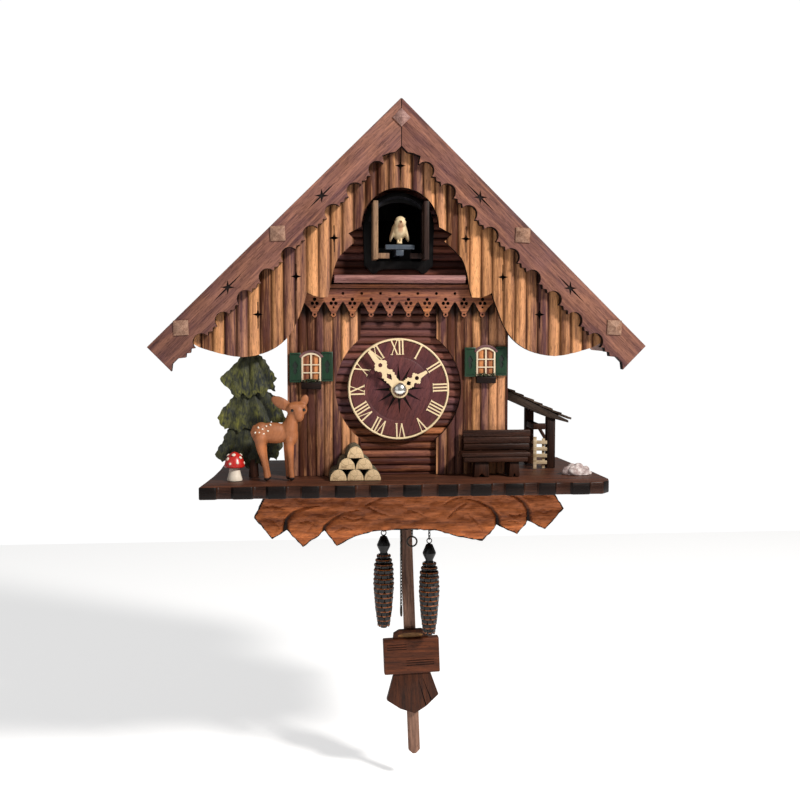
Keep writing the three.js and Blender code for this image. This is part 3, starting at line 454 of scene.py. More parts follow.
class Finish:
    """A material whose nodes are laid out one after another."""

    def __init__(self, name):
        self.material = bpy.data.materials.new(name)
        self.material.use_nodes = True
        self.tree = self.material.node_tree
        self.tree.nodes.clear()
        self.shader = self.tree.nodes.new("ShaderNodeBsdfPrincipled")
        output = self.tree.nodes.new("ShaderNodeOutputMaterial")
        self.tree.links.new(self.shader.outputs[0], output.inputs[0])
        self.coords = self.node("ShaderNodeTexCoord", output="Object")
        apart = self.node("ShaderNodeSeparateXYZ", {}, {0: self.coords})
        axes = apart.socket.node.outputs
        self.x, self.y, self.z = (Link(self, axes[i]) for i in range(3))

    def node(self, kind, settings=None, inputs=None, output=0):
        made = self.tree.nodes.new(kind)
        for key, value in (settings or {}).items():
            if key == "stops":
                self._set_stops(made.color_ramp, value)
            else:
                setattr(made, key, value)
        for key, value in (inputs or {}).items():
            if isinstance(value, Link):
                self.tree.links.new(value.socket, made.inputs[key])
            else:
                made.inputs[key].default_value = value
        return Link(self, made.outputs[output])

    @staticmethod
    def _set_stops(ramp, stops):
        while len(ramp.elements) < len(stops):
            ramp.elements.new(0.5)
        for element, (position, colour) in zip(ramp.elements, stops):
            element.position = position
            element.color = opaque(colour)

    def mapped(self, turn=(0, 0, 0), stretch=(1, 1, 1), centre=(0, 0, 0)):
        """Object coordinates moved to a centre, turned by degrees and then stretched along the axes."""
        return self.node("ShaderNodeMapping", {"vector_type": 'TEXTURE'}, {
            "Vector": self.coords, "Location": centre,
            "Rotation": [math.radians(angle) for angle in turn], "Scale": stretch})

    def noise(self, vector, size, detail=2.0, distortion=0.0):
        """Cloudy noise whose lumps are about `size` millimetres across."""
        return self.node("ShaderNodeTexNoise", {}, {
            "Vector": vector, "Scale": 1 / (size * MM), "Detail": detail, "Distortion": distortion})

    def cells(self, vector, size, feature='F1'):
        return self.node("ShaderNodeTexVoronoi", {"feature": feature}, {
            "Vector": vector, "Scale": 1 / (size * MM)})

    def chance(self, value):
        """A number from 0 to 1 that belongs to a whole number."""
        return self.node("ShaderNodeTexWhiteNoise", {"noise_dimensions": '1D'}, {"W": value})

    def ramp(self, factor, *stops):
        return self.node("ShaderNodeValToRGB", {"stops": stops}, {0: factor})

    def mix(self, factor, first, second, how='MIX'):
        first, second = (c if isinstance(c, Link) else opaque(c) for c in (first, second))
        return self.node("ShaderNodeMix", {"data_type": 'RGBA', "blend_type": how},
                         {0: factor, 6: first, 7: second}, output=2)

    def bump(self, height, depth, strength=1.0):
        """Relief of about `depth` millimetres."""
        return self.node("ShaderNodeBump", {},
                         {"Height": height, "Strength": strength, "Distance": depth * MM})

    def set(self, **inputs):
        """Values or links for the shader's own sockets; underscores stand for spaces."""
        for key, value in inputs.items():
            socket = self.shader.inputs[key.replace("_", " ")]
            if isinstance(value, Link):
                self.tree.links.new(value.socket, socket)
            elif isinstance(value, (tuple, list)):
                socket.default_value = opaque(value)
            else:
                socket.default_value = value
        return self


def timber(name, light, deep, stain, turn=(0, 0, 0), boards=None, gloss=0.5, grain=1.0, blotch=22.0,
           shade=None, centre=(0, 0, 0), variety=0.5, joint_stain=0.6):
    """Stained wood with its grain along Z once turned.

    boards = (axis, width, start) gives every board of that width a tone of its own.
    shade = a function of the finish that returns how dark each place is, from 0 to 1."""
    finish = Finish(name)
    lengthways = finish.mapped(turn, (1, 1, 16), centre)
    figure = finish.noise(lengthways, 3.6 * grain, 2.5, 0.5)
    fibre = finish.noise(lengthways, 0.8 * grain, 3.0)
    pores = finish.noise(finish.mapped(turn, (1, 1, 9), centre), 0.42 * grain, 1.0)
    patch = finish.noise(finish.coords, blotch, 1.5)
    tones = figure * 0.62 + fibre * 0.38
    if boards:
        axis, width, start = boards
        along = {"x": finish.x, "y": finish.y, "z": finish.z}[axis]
        place = (along - start * MM) / (width * MM)
        number = place.floor()
        own = finish.chance(number)
        streaks = finish.noise(finish.mapped(turn, (1, 1, 22), centre), 5.2 * grain, 1.5)
        hue = finish.chance(number + 57.3) * 0.8 + streaks * 2.2 - 1.15
        tones = tones + (own - 0.5) * (0.34 * variety)
        joint = (abs(place - number - 0.5) * 2).between(0.5, 1.0) ** 1.5
    else:
        hue = patch
    colour = finish.ramp(tones, (0.34, deep), (0.48, [(a + b) / 2 for a, b in zip(light, deep)]),
                         (0.6, light), (0.74, [min(1.0, v * 1.5) for v in light]))
    stained = finish.mix((hue * 0.6 + patch * 0.5 - 0.22).clamp() * 0.85, colour, stain, 'MIX')
    stained = finish.mix(0.55, colour, stained)
    dark_pores = (pores < 0.4) * 0.38
    coloured = finish.mix(dark_pores, stained, [c * 0.3 for c in deep])
    if boards:
        coloured = finish.mix(joint * joint_stain, coloured, [c * 0.16 for c in deep])
    if shade:
        coloured = finish.mix(shade(finish), coloured, [c * 0.1 for c in deep])
    finish.set(Base_Color=coloured, Roughness=(figure * 0.25 + (gloss - 0.1)).clamp(),
               Normal=finish.bump(fibre * 0.7 + pores * 0.5 + figure * 0.4, 0.16 * grain),
               Specular_IOR_Level=0.17)
    return finish.material


def paint(name, colour, second, gloss=0.45, brush=2.2, relief_depth=0.12, turn=(0, 0, 0), worn=None):
    """Brushed paint, thinner in places, with an undercoat or bare wood where it has worn."""
    finish = Finish(name)
    strokes = finish.noise(finish.mapped(turn, (1, 1, 7)), brush, 3.0, 0.4)
    patch = finish.noise(finish.coords, brush * 3.2, 2.0)
    coloured = finish.mix((strokes * 0.7 + patch * 0.5 - 0.25).clamp(), colour, second)
    if worn:
        coloured = finish.mix((finish.noise(finish.coords, brush * 1.3, 4.0) > 0.66) * 0.7, coloured, worn)
    finish.set(Base_Color=coloured, Roughness=(strokes * 0.3 + gloss - 0.12).clamp(),
               Normal=finish.bump(strokes + patch * 0.4, relief_depth))
    return finish.material


def moulded_plastic(name, colour, gloss=0.42):
    finish = Finish(name)
    grain = finish.noise(finish.coords, 0.35, 2.0)
    cloud = finish.noise(finish.coords, 14, 2.0)
    finish.set(Base_Color=finish.mix(cloud * 0.5, colour, [c * 1.6 + 0.004 for c in colour]),
               Roughness=(grain * 0.12 + cloud * 0.14 + gloss - 0.1).clamp(), Normal=finish.bump(grain, 0.03))
    return finish.material


def metal(name, colour, gloss=0.28, tarnish=0.5, wear=9.0):
    finish = Finish(name)
    cloud = finish.noise(finish.coords, wear, 4.0)
    fine = finish.noise(finish.mapped((0, 0, 0), (1, 1, 6)), 0.3, 2.0)
    finish.set(Base_Color=finish.mix(cloud * tarnish, colour, [c * 0.45 for c in colour]), Metallic=1.0,
               Roughness=(cloud * 0.3 + fine * 0.12 + gloss - 0.18).clamp(), Normal=finish.bump(fine, 0.02))
    return finish.material


# ------------------------------------------------------------------ what a user may change

def length(name, description, millimetres, least=0.1, most=60.0):
    return FloatProperty(name=name, description=description, default=millimetres * MM, min=least * MM,
                         max=most * MM, unit='LENGTH', subtype='DISTANCE', precision=4)


def colour(name, description, code):
    return FloatVectorProperty(name=name, description=description, default=tone(code), size=3,
                               subtype='COLOR', min=0.0, max=1.0)


class ChaletSizes(bpy.types.PropertyGroup):
    flute: length("Gable board", "Width of one rounded board in the gable", 7.5, 3, 20)
    plank: length("Wall board", "Width of one upright board beside the dial", 5.6, 3, 20)
    log: length("Log", "Height of one log in the front wall", 5.0, 2, 12)
    peg: length("Peg", "Side of a pyramid peg on the bargeboards", 9.4, 4, 14)
    star: length("Star", "Length of an engraved star's ray", 4.6, 1, 8)
    engraving: length("Engraving", "Depth of the stars cut into the boards", 0.9, 0.2, 2)
    edge: length("Eased edge", "Width of the rounding on sawn edges", 0.55, 0.1, 1.2)
    numeral: length("Numeral", "Height of a numeral on the dial", 9.2, 4, 11)
    stroke: length("Stroke", "Width of a numeral's thick stroke", 0.95, 0.4, 2)
    shingle: length("Shingle", "Width of one shingle on the shed", 5.4, 3, 12)
    link: length("Chain link", "Length of one chain link", 3.4, 2, 6)
    wire: length("Chain wire", "Thickness of a chain link's wire", 0.62, 0.2, 1)
    cone_scale: length("Cone scale", "Width of a scale at the middle of a cone", 4.6, 2, 8)


class ChaletColours(bpy.types.PropertyGroup):
    walnut: colour("Walnut", "Bargeboards", "9a6850")
    walnut_deep: colour("Walnut grain", "Dark grain in the bargeboards", "54332a")
    mauve: colour("Mauve stain", "Cool stain in the walnut and the wall boards", "6a4e62")
    amber: colour("Amber", "Gable and wall boards", "c48a5c")
    amber_deep: colour("Amber grain", "Dark grain in the gable and wall boards", "4e2a1a")
    log: colour("Log", "Front wall behind the dial", "6b3d2e")
    cut: colour("Cut edge", "Dark stain on sawn edges and engravings", "150c0a")
    carved: colour("Carved base", "Carved board under the platform", "b6683a")
    carved_deep: colour("Carved base grain", "Dark grain in the carved board", "5a2a17")
    dial: colour("Dial", "Disc behind the numerals", "602f23")
    cream: colour("Cream", "Ring, numerals and hands", "ecd3a8")
    leaf: colour("Leaf", "Light green of the fir tree", "82802e")
    needle: colour("Needle", "Dark green of the fir tree", "11160c")
    fawn: colour("Fawn", "Coat of the fawn", "a8663c")
    toadstool: colour("Toadstool", "Cap of the toadstool", "c8241c")
    shutter: colour("Shutter", "Window shutters", "0b331a")


def sizes():
    return bpy.context.scene.chalet_sizes


def colours():
    return bpy.context.scene.chalet_colours


def mm(value):
    """A size from the panel in millimetres."""
    return value / MM


SLOPE = 44.4
RIDGE = 242.4
COS, SIN, TAN = (f(math.radians(SLOPE)) for f in (math.cos, math.sin, math.tan))
DOWN_RIGHT = (0, 90 + SLOPE, 0)
DOWN_LEFT = (0, -90 - SLOPE, 0)
SIDEWAYS = (0, 90, 0)
FORWARD = (90, 0, 0)
UPRIGHT = (0, 0, 0)


def stained_walnut(name, turn, **more):
    c = colours()
    return timber(name, c.walnut, c.walnut_deep, c.mauve, turn, **more)


def stained_amber(name, turn=UPRIGHT, **more):
    c = colours()
    return timber(name, c.amber, c.amber_deep, c.mauve, turn, **more)


def cut_edge():
    """The dark stain on sawn edges, made once."""
    known = bpy.data.materials.get("Sawn edge")
    if known:
        return known
    c = colours().cut
    return timber("Sawn edge", [v * 1.9 for v in c], [v * 0.6 for v in c], [v * 1.2 for v in c], gloss=0.62)


def dark_wood(name, turn=UPRIGHT, lift=1.0, **more):
    """The nearly black brown of the bench, the posts, the back and the platform's edge."""
    return timber(name, [c * lift for c in tone("5a3423")], [c * lift for c in tone("24130c")],
                  [c * lift for c in tone("3f2a26")], turn, **more)


def slope_point(along, under, side):
    """A point on the roof: down the slope from the ridge, and square under its edge."""
    return side * (along * COS - under * SIN), RIDGE - along * SIN - under * COS


def mitre(under):
    return (0.15 + under * SIN) / COS


def slope_height(x, under):
    return RIDGE - under / COS - TAN * abs(x)


# ------------------------------------------------------------------ roof and gable

class Bargeboards(bpy.types.Operator):
    """Scalloped boards along the front of the roof, with engraved stars and pyramid pegs"""
    bl_idname = "chalet.bargeboards"
    bl_label = "Bargeboards"

    SCALLOPS = 9
    PITCH = 19.4
    FIRST = 37.2
    BITE = 5.5
    WIDTH = 21.6
    END = 224.4

    def outline(self, side):
        apex = mitre(self.WIDTH)
        edge = [(mitre(0), 0), (apex, self.WIDTH), (apex + 5.4, self.WIDTH), (apex + 8, self.WIDTH - 2),
                (self.FIRST - 3, self.WIDTH - 4), (self.FIRST - 0.6, self.WIDTH)]
        step = (self.PITCH - 2 * self.BITE) / 4
        for i in range(self.SCALLOPS):
            start = self.FIRST + i * self.PITCH
            edge += [(a, u) for a, u in arc(start + self.BITE, self.WIDTH, self.BITE, 180, 360, 12)]
            end = start + 2 * self.BITE
            edge += [(end + step, self.WIDTH - 1.6), (end + 2 * step, self.WIDTH),
                     (end + 3 * step, self.WIDTH - 1.6)]
        last = self.FIRST + self.SCALLOPS * self.PITCH
        middle = (last + self.END) / 2
        edge += [(last, self.WIDTH), (middle - 2.5, self.WIDTH - 3), (middle + 2.5, self.WIDTH - 3),
                 (self.END, self.WIDTH), (self.END, 0)]
        return [slope_point(a, u, side) for a, u in edge]

    def engrave(self, board, x, z, side, front):
        """A four-pointed star on a long fine line that follows the board."""
        s = sizes()
        depth = mm(s.engraving)
        ray = mm(s.star)
        star = [(r * math.sin(math.radians(a)), r * math.cos(math.radians(a)))
                for a, r in ((i * 45, ray if i % 2 == 0 else ray * 0.26) for i in range(8))]
        line = [(-13, 0), (-4, 0.5), (4, 0.5), (13, 0), (4, -0.5), (-4, -0.5)]
        for points, turn, deep in ((star, 0, depth), (line, side * SLOPE, depth * 0.8)):
            placed = swung(points, turn, x, z)
            cut(board, placed, front + deep, front - 1)

    def peg(self, name, x, z, face, size, turn):
        """A low pyramid with a short square foot."""
        half = size / 2
        foot = [(-half, -half), (half, -half), (half, half), (-half, half)]
        peg = sawn(name, swung(foot, turn, x, z), face + 0.6, face - 0.9)
        edit(peg)
        bpy.ops.mesh.select_mode(type='FACE')
        done_editing()
        for part in peg.data.polygons:
            part.select = part.normal.y < -0.9
        alone(peg)
        bpy.ops.object.mode_set(mode='EDIT')
        bpy.ops.mesh.inset(thickness=size * 0.49 * MM, depth=2.3 * MM)
        done_editing()
        return eased(peg, 0.35, 2)

    def execute(self, context):
        s = sizes()
        for side, word, turn in ((-1, "left", DOWN_LEFT), (1, "right", DOWN_RIGHT)):
            low, high = span(f"bargeboard_{word}")
            board = sawn(f"bargeboard_{word}_carved", self.outline(side), high.y, low.y)
            eased(board, mm(s.edge) * 1.3, 2)
            # Each board is darkened towards its lower end, the left one more.
            darker_to_ends = lambda finish: (finish.x * side).between(30 * MM, 170 * MM) * (0.3 if side < 0 else 0.16)
            coated(board, stained_walnut(f"Bargeboard walnut {word}", turn, gloss=0.46, shade=darker_to_ends),
                   cut_edge())
            edges_dark(board, limit=0.8)
            for x, z in ((50.5, 180.5), (109.7, 122.9)):
                self.engrave(board, side * x, z, side, low.y)
            settle(board, "case", "walnut", f"bargeboard_{word}")
        face = span("bargeboard_left")[0].y
        tan = timber("Peg wood", tone("a8836c"), tone("6f4c39"), tone("8c7068"), FORWARD, gloss=0.4,
                     grain=0.7)
        for i, (x, z) in enumerate(((-78.2, 156.7), (78.2, 156.7), (-139, 97.5), (139, 97.5))):
            turn = SLOPE * (1 if x > 0 else -1) * 0.06
            peg = coated(self.peg(f"peg_{i + 1}", x, z, face, mm(s.peg), turn), tan)
            settle(peg, "case", "raw_wood", smooth=20)
        grey = timber("Apex peg wood", tone("a98478"), tone("6b4a41"), tone("8c7480"), FORWARD, grain=0.7)
        apex = coated(self.peg("peg_apex", 0, RIDGE - 12.5, face, mm(s.peg) * 0.86, 45), grey)
        settle(apex, "case", "walnut", smooth=20)
        return {'FINISHED'}


class RoofBoards(bpy.types.Operator):
    """Two roof slabs, boarded outside, and the side walls under them"""
    bl_idname = "chalet.roof_boards"
    bl_label = "Roof and Side Walls"

    def execute(self, context):
        for side, word, turn in ((-1, "left", DOWN_LEFT), (1, "right", DOWN_RIGHT)):
            low, high = span(f"roof_board_{word}")
            drop, thick, end = 1.0, 8.0, 223.4
            outline = [slope_point(a, u, side) for a, u in (
                (mitre(drop), drop), (mitre(drop + thick), drop + thick), (end, drop + thick), (end, drop))]
            roof = sawn(f"roof_board_{word}_planked", outline, high.y, low.y)
            eased(roof, 0.7, 2)
            coated(roof, stained_walnut(f"Roof walnut {word}", turn, boards=("y", 14.7, low.y), gloss=0.52),
                   cut_edge())
            groove = [slope_point(a, u, side) for a, u in (
                (-4, -1), (-4, drop + 0.7), (end + 2, drop + 0.7), (end + 2, -1))]
            rows = [low.y + i * 14.7 for i in range(1, 7)]
            grooves = together("grooves", [sawn("groove", groove, y + 0.45, y - 0.45) for y in rows])
            carve(roof, coated(grooves, cut_edge()))
            settle(roof, "case", "roof_wood", f"roof_board_{word}")
        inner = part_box("side_wall_right")[0].x + 0.3 * MM
        # The inside faces of the side walls are painted near-black: painted shade inside the case.
        wall = stained_amber("Side wall wood", boards=("y", 8, 0), gloss=0.55,
                             shade=lambda finish: (abs(finish.x) < inner) * 0.9)
        dress("side_wall_left", wall)
        dress("side_wall_right", wall)
        return {'FINISHED'}


def fluted(name, left, right, bottom, top, back, front, pitch, crown, upright=True):
    """A board of rounded boards or logs side by side, each standing `crown` proud of its joints."""
    start, end = (left, right) if upright else (bottom, top)
    middle = (start + end) / 2
    count = math.ceil((end - start) / pitch / 2) * 2
    first = middle - count * pitch / 2
    edge = []
    for i in range(count):
        for s in range(8):
            u = s / 8
            rise = crown * (1 - abs(2 * u - 1) ** 2.2) ** 0.7 if s else -0.25
            edge.append((first + (i + u) * pitch, front + crown - max(rise, -0.25)))
    edge.append((first + count * pitch, front + crown))
    if upright:
        profile = [(first, back)] + edge + [(edge[-1][0], back)]
        return laid(name, profile, bottom, top)
    profile = [(back, first)] + [(y, z) for z, y in edge] + [(back, edge[-1][0])]
    return moulded(name, profile, left, right)


class GablePanel(bpy.types.Operator):
    """The boarded gable with its wavy lower edge, arch and pierced stars"""
    bl_idname = "chalet.gable_panel"
    bl_label = "Gable Panel"

    STARS = ((42.5, 154.6), (66.8, 130.1), (91.2, 105.9))

    def outline(self):
        under = 9.3
        lobe = through([(128.2, 85), (115, 81), (101.5, 78.8), (89, 80.8), (79, 85.4), (71, 93), (65.3, 104),
                        (61.2, 115)], 3)
        leg = through([(46.6, 117), (44.9, 124), (43.2, 133), (39.8, 142), (34, 148), (28.6, 152.8)], 3)
        arch = arc(0, 162, 25, 0, 90, 16)
        half = [(0, slope_height(0, under)), (134, slope_height(134, under)), (134, 88.5), *lobe,
                (60, 120), (56, 118), (51.5, 116.8), *leg, (33.4, 157.6), *arch[:-1], (0, 187)]
        return both_sides(half)

    def pierce(self, panel, x, z, back, front):
        ray = mm(sizes().star) * 0.74
        star = [(x + r * math.sin(math.radians(a)), z + r * 1.25 * math.cos(math.radians(a)))
                for a, r in ((i * 45, ray if i % 2 == 0 else ray * 0.3) for i in range(8))]
        cut(panel, star, back - 1, front - 1)
        slit = [(x - 0.3, z - 9), (x + 0.3, z - 9), (x + 0.3, z + 8), (x - 0.3, z + 8)]
        cut(panel, slit, front + 1.9, front - 1)

    def execute(self, context):
        s = sizes()
        low, high = span("gable_panel")
        pitch = mm(s.flute)
        panel = fluted("gable_panel_boarded", -136, 136, 74, 246, high.y, low.y, pitch, 1.7)
        coated(panel, stained_amber("Gable amber", boards=("x", pitch, 0), variety=1.0, gloss=0.46))
        shape = coated(sawn("gable_shape", self.outline(), high.y + 1, low.y - 1), cut_edge())
        carve(panel, shape, 'INTERSECT')
        for side in (-1, 1):
            for x, z in self.STARS:
                self.pierce(panel, side * x, z, high.y, low.y)
        self.pierce(panel, 0, 200.7, high.y, low.y)
        repaint(panel, 0, lambda centre, normal: normal.y > 0.9)
        settle(panel, "case", "amber_wood", "gable_panel")
        return {'FINISHED'}


# ------------------------------------------------------------------ front wall

def doorway(margin):
    """The bird's opening with its low arch, grown by a margin."""
    half, rise = 14.6 + margin, 4.5
    radius = (half * half + rise * rise) / (2 * rise)
    reach = math.degrees(math.asin(half / radius))
    top = arc(0, 178.5 + margin - radius, radius, 90 - reach, 90 + reach, 14)
    return [(-half, 140.5 - margin), (half, 140.5 - margin), *top]


class FrontWall(bpy.types.Operator):
    """The log wall, and the upright boards on both sides of the dial"""
    bl_idname = "chalet.front_wall"
    bl_label = "Front Wall"

    def execute(self, context):
        s, c = sizes(), colours()
        low, high = span("front_board")
        half, bottom, under = high.x, low.z, 9.3
        pitch = mm(s.log)
        wall = fluted("front_board_logs", -half - 1, half + 1, bottom - 4, 236, high.y, low.y, pitch, 1.3,
                      upright=False)
        middle = (bottom - 4 + 236) / 2
        coated(wall, timber("Log wall", [v * 1.15 for v in c.log], [v * 0.42 for v in c.log], c.mauve,
                            SIDEWAYS, boards=("z", pitch, PLATFORM_TOP / MM + middle), variety=0.8,
                            gloss=0.5))
        warm = timber("Log wall low", tone("a0623e"), tone("4a2417"), c.mauve, SIDEWAYS,
                      boards=("z", pitch, PLATFORM_TOP / MM + middle), variety=0.9, gloss=0.5)
        coated(wall, wall.data.materials[0], warm)
        repaint(wall, 1, lambda centre, normal: centre.z < PLATFORM_TOP + 34 * MM)
        shape = both_sides([(0, slope_height(0, under)), (half, slope_height(half, under)), (half, bottom),
                            (0, bottom)])
        cut(wall, shape, high.y + 1, low.y - 1, how='INTERSECT')
        cut(wall, doorway(0.6), high.y + 1, low.y - 1)
        dial = (span("dial")[0] + span("dial")[1]) / 2
        carve(wall, coated(rod("bush_hole", (0, high.y + 2, dial.z), (0, low.y - 2, dial.z), 4.3, sides=24),
                           cut_edge()))
        settle(wall, "case", "log_wood", "front_board")
        for word in ("left", "right"):
            low, high = span(f"front_cladding_{word}")
            pitch = mm(s.plank)
            boards = fluted(f"front_cladding_{word}_boards", low.x - 6, high.x + 6, low.z - 2, high.z + 2,
                            high.y, low.y, pitch, 0.9)
            # The wall boards take painted shade behind the trim's open arches.
            shade_behind_arches = self.shade_behind_arches
            coated(boards, stained_amber(f"Wall amber {word}", boards=("x", pitch, (low.x + high.x) / 2),
                                         variety=1.15, gloss=0.45, shade=shade_behind_arches, joint_stain=0.5))
            shape = [(low.x, low.z), (high.x, low.z), (high.x, high.z), (low.x, high.z)]
            cut(boards, shape, high.y + 1, low.y - 1, how='INTERSECT')
            recess = arc(0, dial.z, 41.5, 0, 352.5, 47)
            cut(boards, recess, high.y + 1, low.y - 1)
            settle(boards, "case", "amber_wood", f"front_cladding_{word}")
        return {'FINISHED'}

    @staticmethod
    def shade_behind_arches(finish):
        """Painted shade on the wall boards behind the open arches of the trim."""
        floor = PLATFORM_TOP + 102.5 * MM
        step = 12.2 * MM
        phase = finish.node("ShaderNodeMath", {"operation": 'PINGPONG'}, {0: finish.x, 1: step / 2})
        height = finish.z - phase * 0.8 - floor
        return height.between(-1.5 * MM, 3.5 * MM) * (abs(finish.x) < 64 * MM) * 0.93


class Trim(bpy.types.Operator):
    """The pierced trim with its pendants, and the moulded ledge above it"""
    bl_idname = "chalet.trim"
    bl_label = "Trim and Ledge"

    PENDANTS = 10
    PITCH = 12.2

    def execute(self, context):
        c = colours()
        low, high = span("trim_board")
        points = [(low.x, high.z), (low.x, 115)]
        holes = []
        for i in range(self.PENDANTS):
            x = (i - (self.PENDANTS - 1) / 2) * self.PITCH
            if i > 0:
                points += [(x - self.PITCH / 2 - 1, 112.6), (x - self.PITCH / 2, 114),
                           (x - self.PITCH / 2 + 1, 112.6)]
            points += [(x - 3.4, 109.6), (x - 2.6, 107.9), (x - 1.7, 107.4), (x - 2.1, 105.3),
                       (x - 1.2, 104.2), (x, low.z), (x + 1.2, 104.2), (x + 2.1, 105.3), (x + 1.7, 107.4),
                       (x + 2.6, 107.9), (x + 3.4, 109.6)]
            holes += [(x, 105.9, 0.7), (x - 1.5, 113.2, 1.15), (x + 1.5, 113.2, 1.15), (x, 115.8, 1.15),
                      (x + self.PITCH / 2, 119.6, 0.95), (x, 110.6, 0.7)]
        points += [(high.x, 115), (high.x, high.z)]
        board = sawn("trim_board_pierced", points, high.y, low.y)
        eased(board, 0.35, 1)
        coated(board, timber("Trim wood", tone("a5673c"), tone("5e3220"), c.mauve, SIDEWAYS, gloss=0.46),
               cut_edge())
        edges_dark(board)
        drills = [rod("drill", (x, high.y + 1, z), (x, low.y - 1, z), r, sides=12)
                  for x, z, r in holes if abs(x) < high.x - 1.5]
        carve(board, coated(together("drills", drills), cut_edge()))
        for z in (118.0, 122.6):
            groove = [(low.x - 1, z - 0.3), (high.x + 1, z - 0.3), (high.x + 1, z + 0.3),
                      (low.x - 1, z + 0.3)]
            if z > 120:
                cut(board, groove, low.y + 0.7, low.y - 1)
        settle(board, "case", "carved_wood", "trim_board")

        low, high = span("trim_ledge")
        nose = [(high.y, low.z), (high.y, high.z), (low.y + 2, high.z), *[
            (low.y + 1.6 - 1.6 * math.sin(math.radians(a)), high.z - 1.6 + 1.6 * math.cos(math.radians(a)))
            for a in (30, 60, 90)], (low.y, low.z + 1.8), (low.y + 1.4, low.z + 1.2), (low.y + 2.4, low.z)]
        ledge = moulded("trim_ledge_moulded", nose, low.x, high.x)
        eased(ledge, 0.3, 2)
        coated(ledge, timber("Ledge walnut", tone("a8786c"), tone("6b4136"), tone("96707e"), SIDEWAYS,
                             gloss=0.42))
        settle(ledge, "case", "walnut", "trim_ledge")
        return {'FINISHED'}


# ------------------------------------------------------------------ platform and carved board

class Platform(bpy.types.Operator):
    """The platform with chips along its front edge"""
    bl_idname = "chalet.platform"
    bl_label = "Platform"

    WAVES = 12

    def execute(self, context):
        low, high = span("platform")
        points = [(high.x - 6, high.y), (low.x + 10, high.y), (low.x + 8.5, -48), (low.x + 6, -82),
                  (low.x + 3, -110)]
        width = (high.x - 6 - low.x) / self.WAVES
        chance = random.Random(11)
        for i in range(self.WAVES):
            x = low.x + i * width
            wide, deep = chance.uniform(0.44, 0.54), chance.uniform(1.7, 2.6)
            points += [(x, low.y), (x + width * wide, low.y), (x + width * (wide + 0.07), low.y + deep),
                       (x + width * 0.93, low.y + deep * 0.8)]
        points += [(high.x - 2, low.y + 8), (high.x, low.y + 16), (high.x - 1, -88)]
        plate = laid("platform_chipped", points, low.z, high.z)
        eased(plate, 0.8, 2, angle=50)
        top = dark_wood("Platform top", SIDEWAYS, lift=1.25, gloss=0.42, blotch=30)
        # The upright edge faces take a near-black copy of the wood, its dark stain deepened by painted shade;
        # the chip faces take a lighter copy, painted light where the chips catch it.
        black = dark_wood("Platform edge", SIDEWAYS, lift=0.08, gloss=0.4)
        chips = dark_wood("Platform chips", SIDEWAYS, lift=0.5, gloss=0.34)
        coated(plate, top, black, chips)
        face = (low.y + 1.0) * MM
        # Upright faces take the painted shade, and the chips' front faces the painted light.
        repaint(plate, 1, lambda centre, normal: abs(normal.z) < 0.8)
        repaint(plate, 2, lambda centre, normal: abs(normal.z) < 0.8 and normal.y < -0.5 and centre.y > face
                and centre.y < face + 4 * MM)
        slot = block("slot", (-16, -57, low.z - 1), (33, -23, high.z + 1))
        carve(plate, coated(slot, cut_edge()))
        settle(plate, "case", "platform_wood", "platform")
        return {'FINISHED'}


def near_stroke(x, z, stroke):
    """Distance to a curved stroke, how far along it the nearest point is, and the side the place lies on."""
    best = (1e9, 0.0, 1.0)
    count = len(stroke) - 1
    for i in range(count):
        (x0, z0), (x1, z1) = stroke[i], stroke[i + 1]
        dx, dz = x1 - x0, z1 - z0
        t = max(0.0, min(1.0, ((x - x0) * dx + (z - z0) * dz) / (dx * dx + dz * dz)))
        away = math.hypot(x - x0 - dx * t, z - z0 - dz * t)
        if away < best[0]:
            side = 1.0 if dx * (z - z0) - dz * (x - x0) > 0 else -1.0
            best = (away, (i + t) / count, side)
    return best


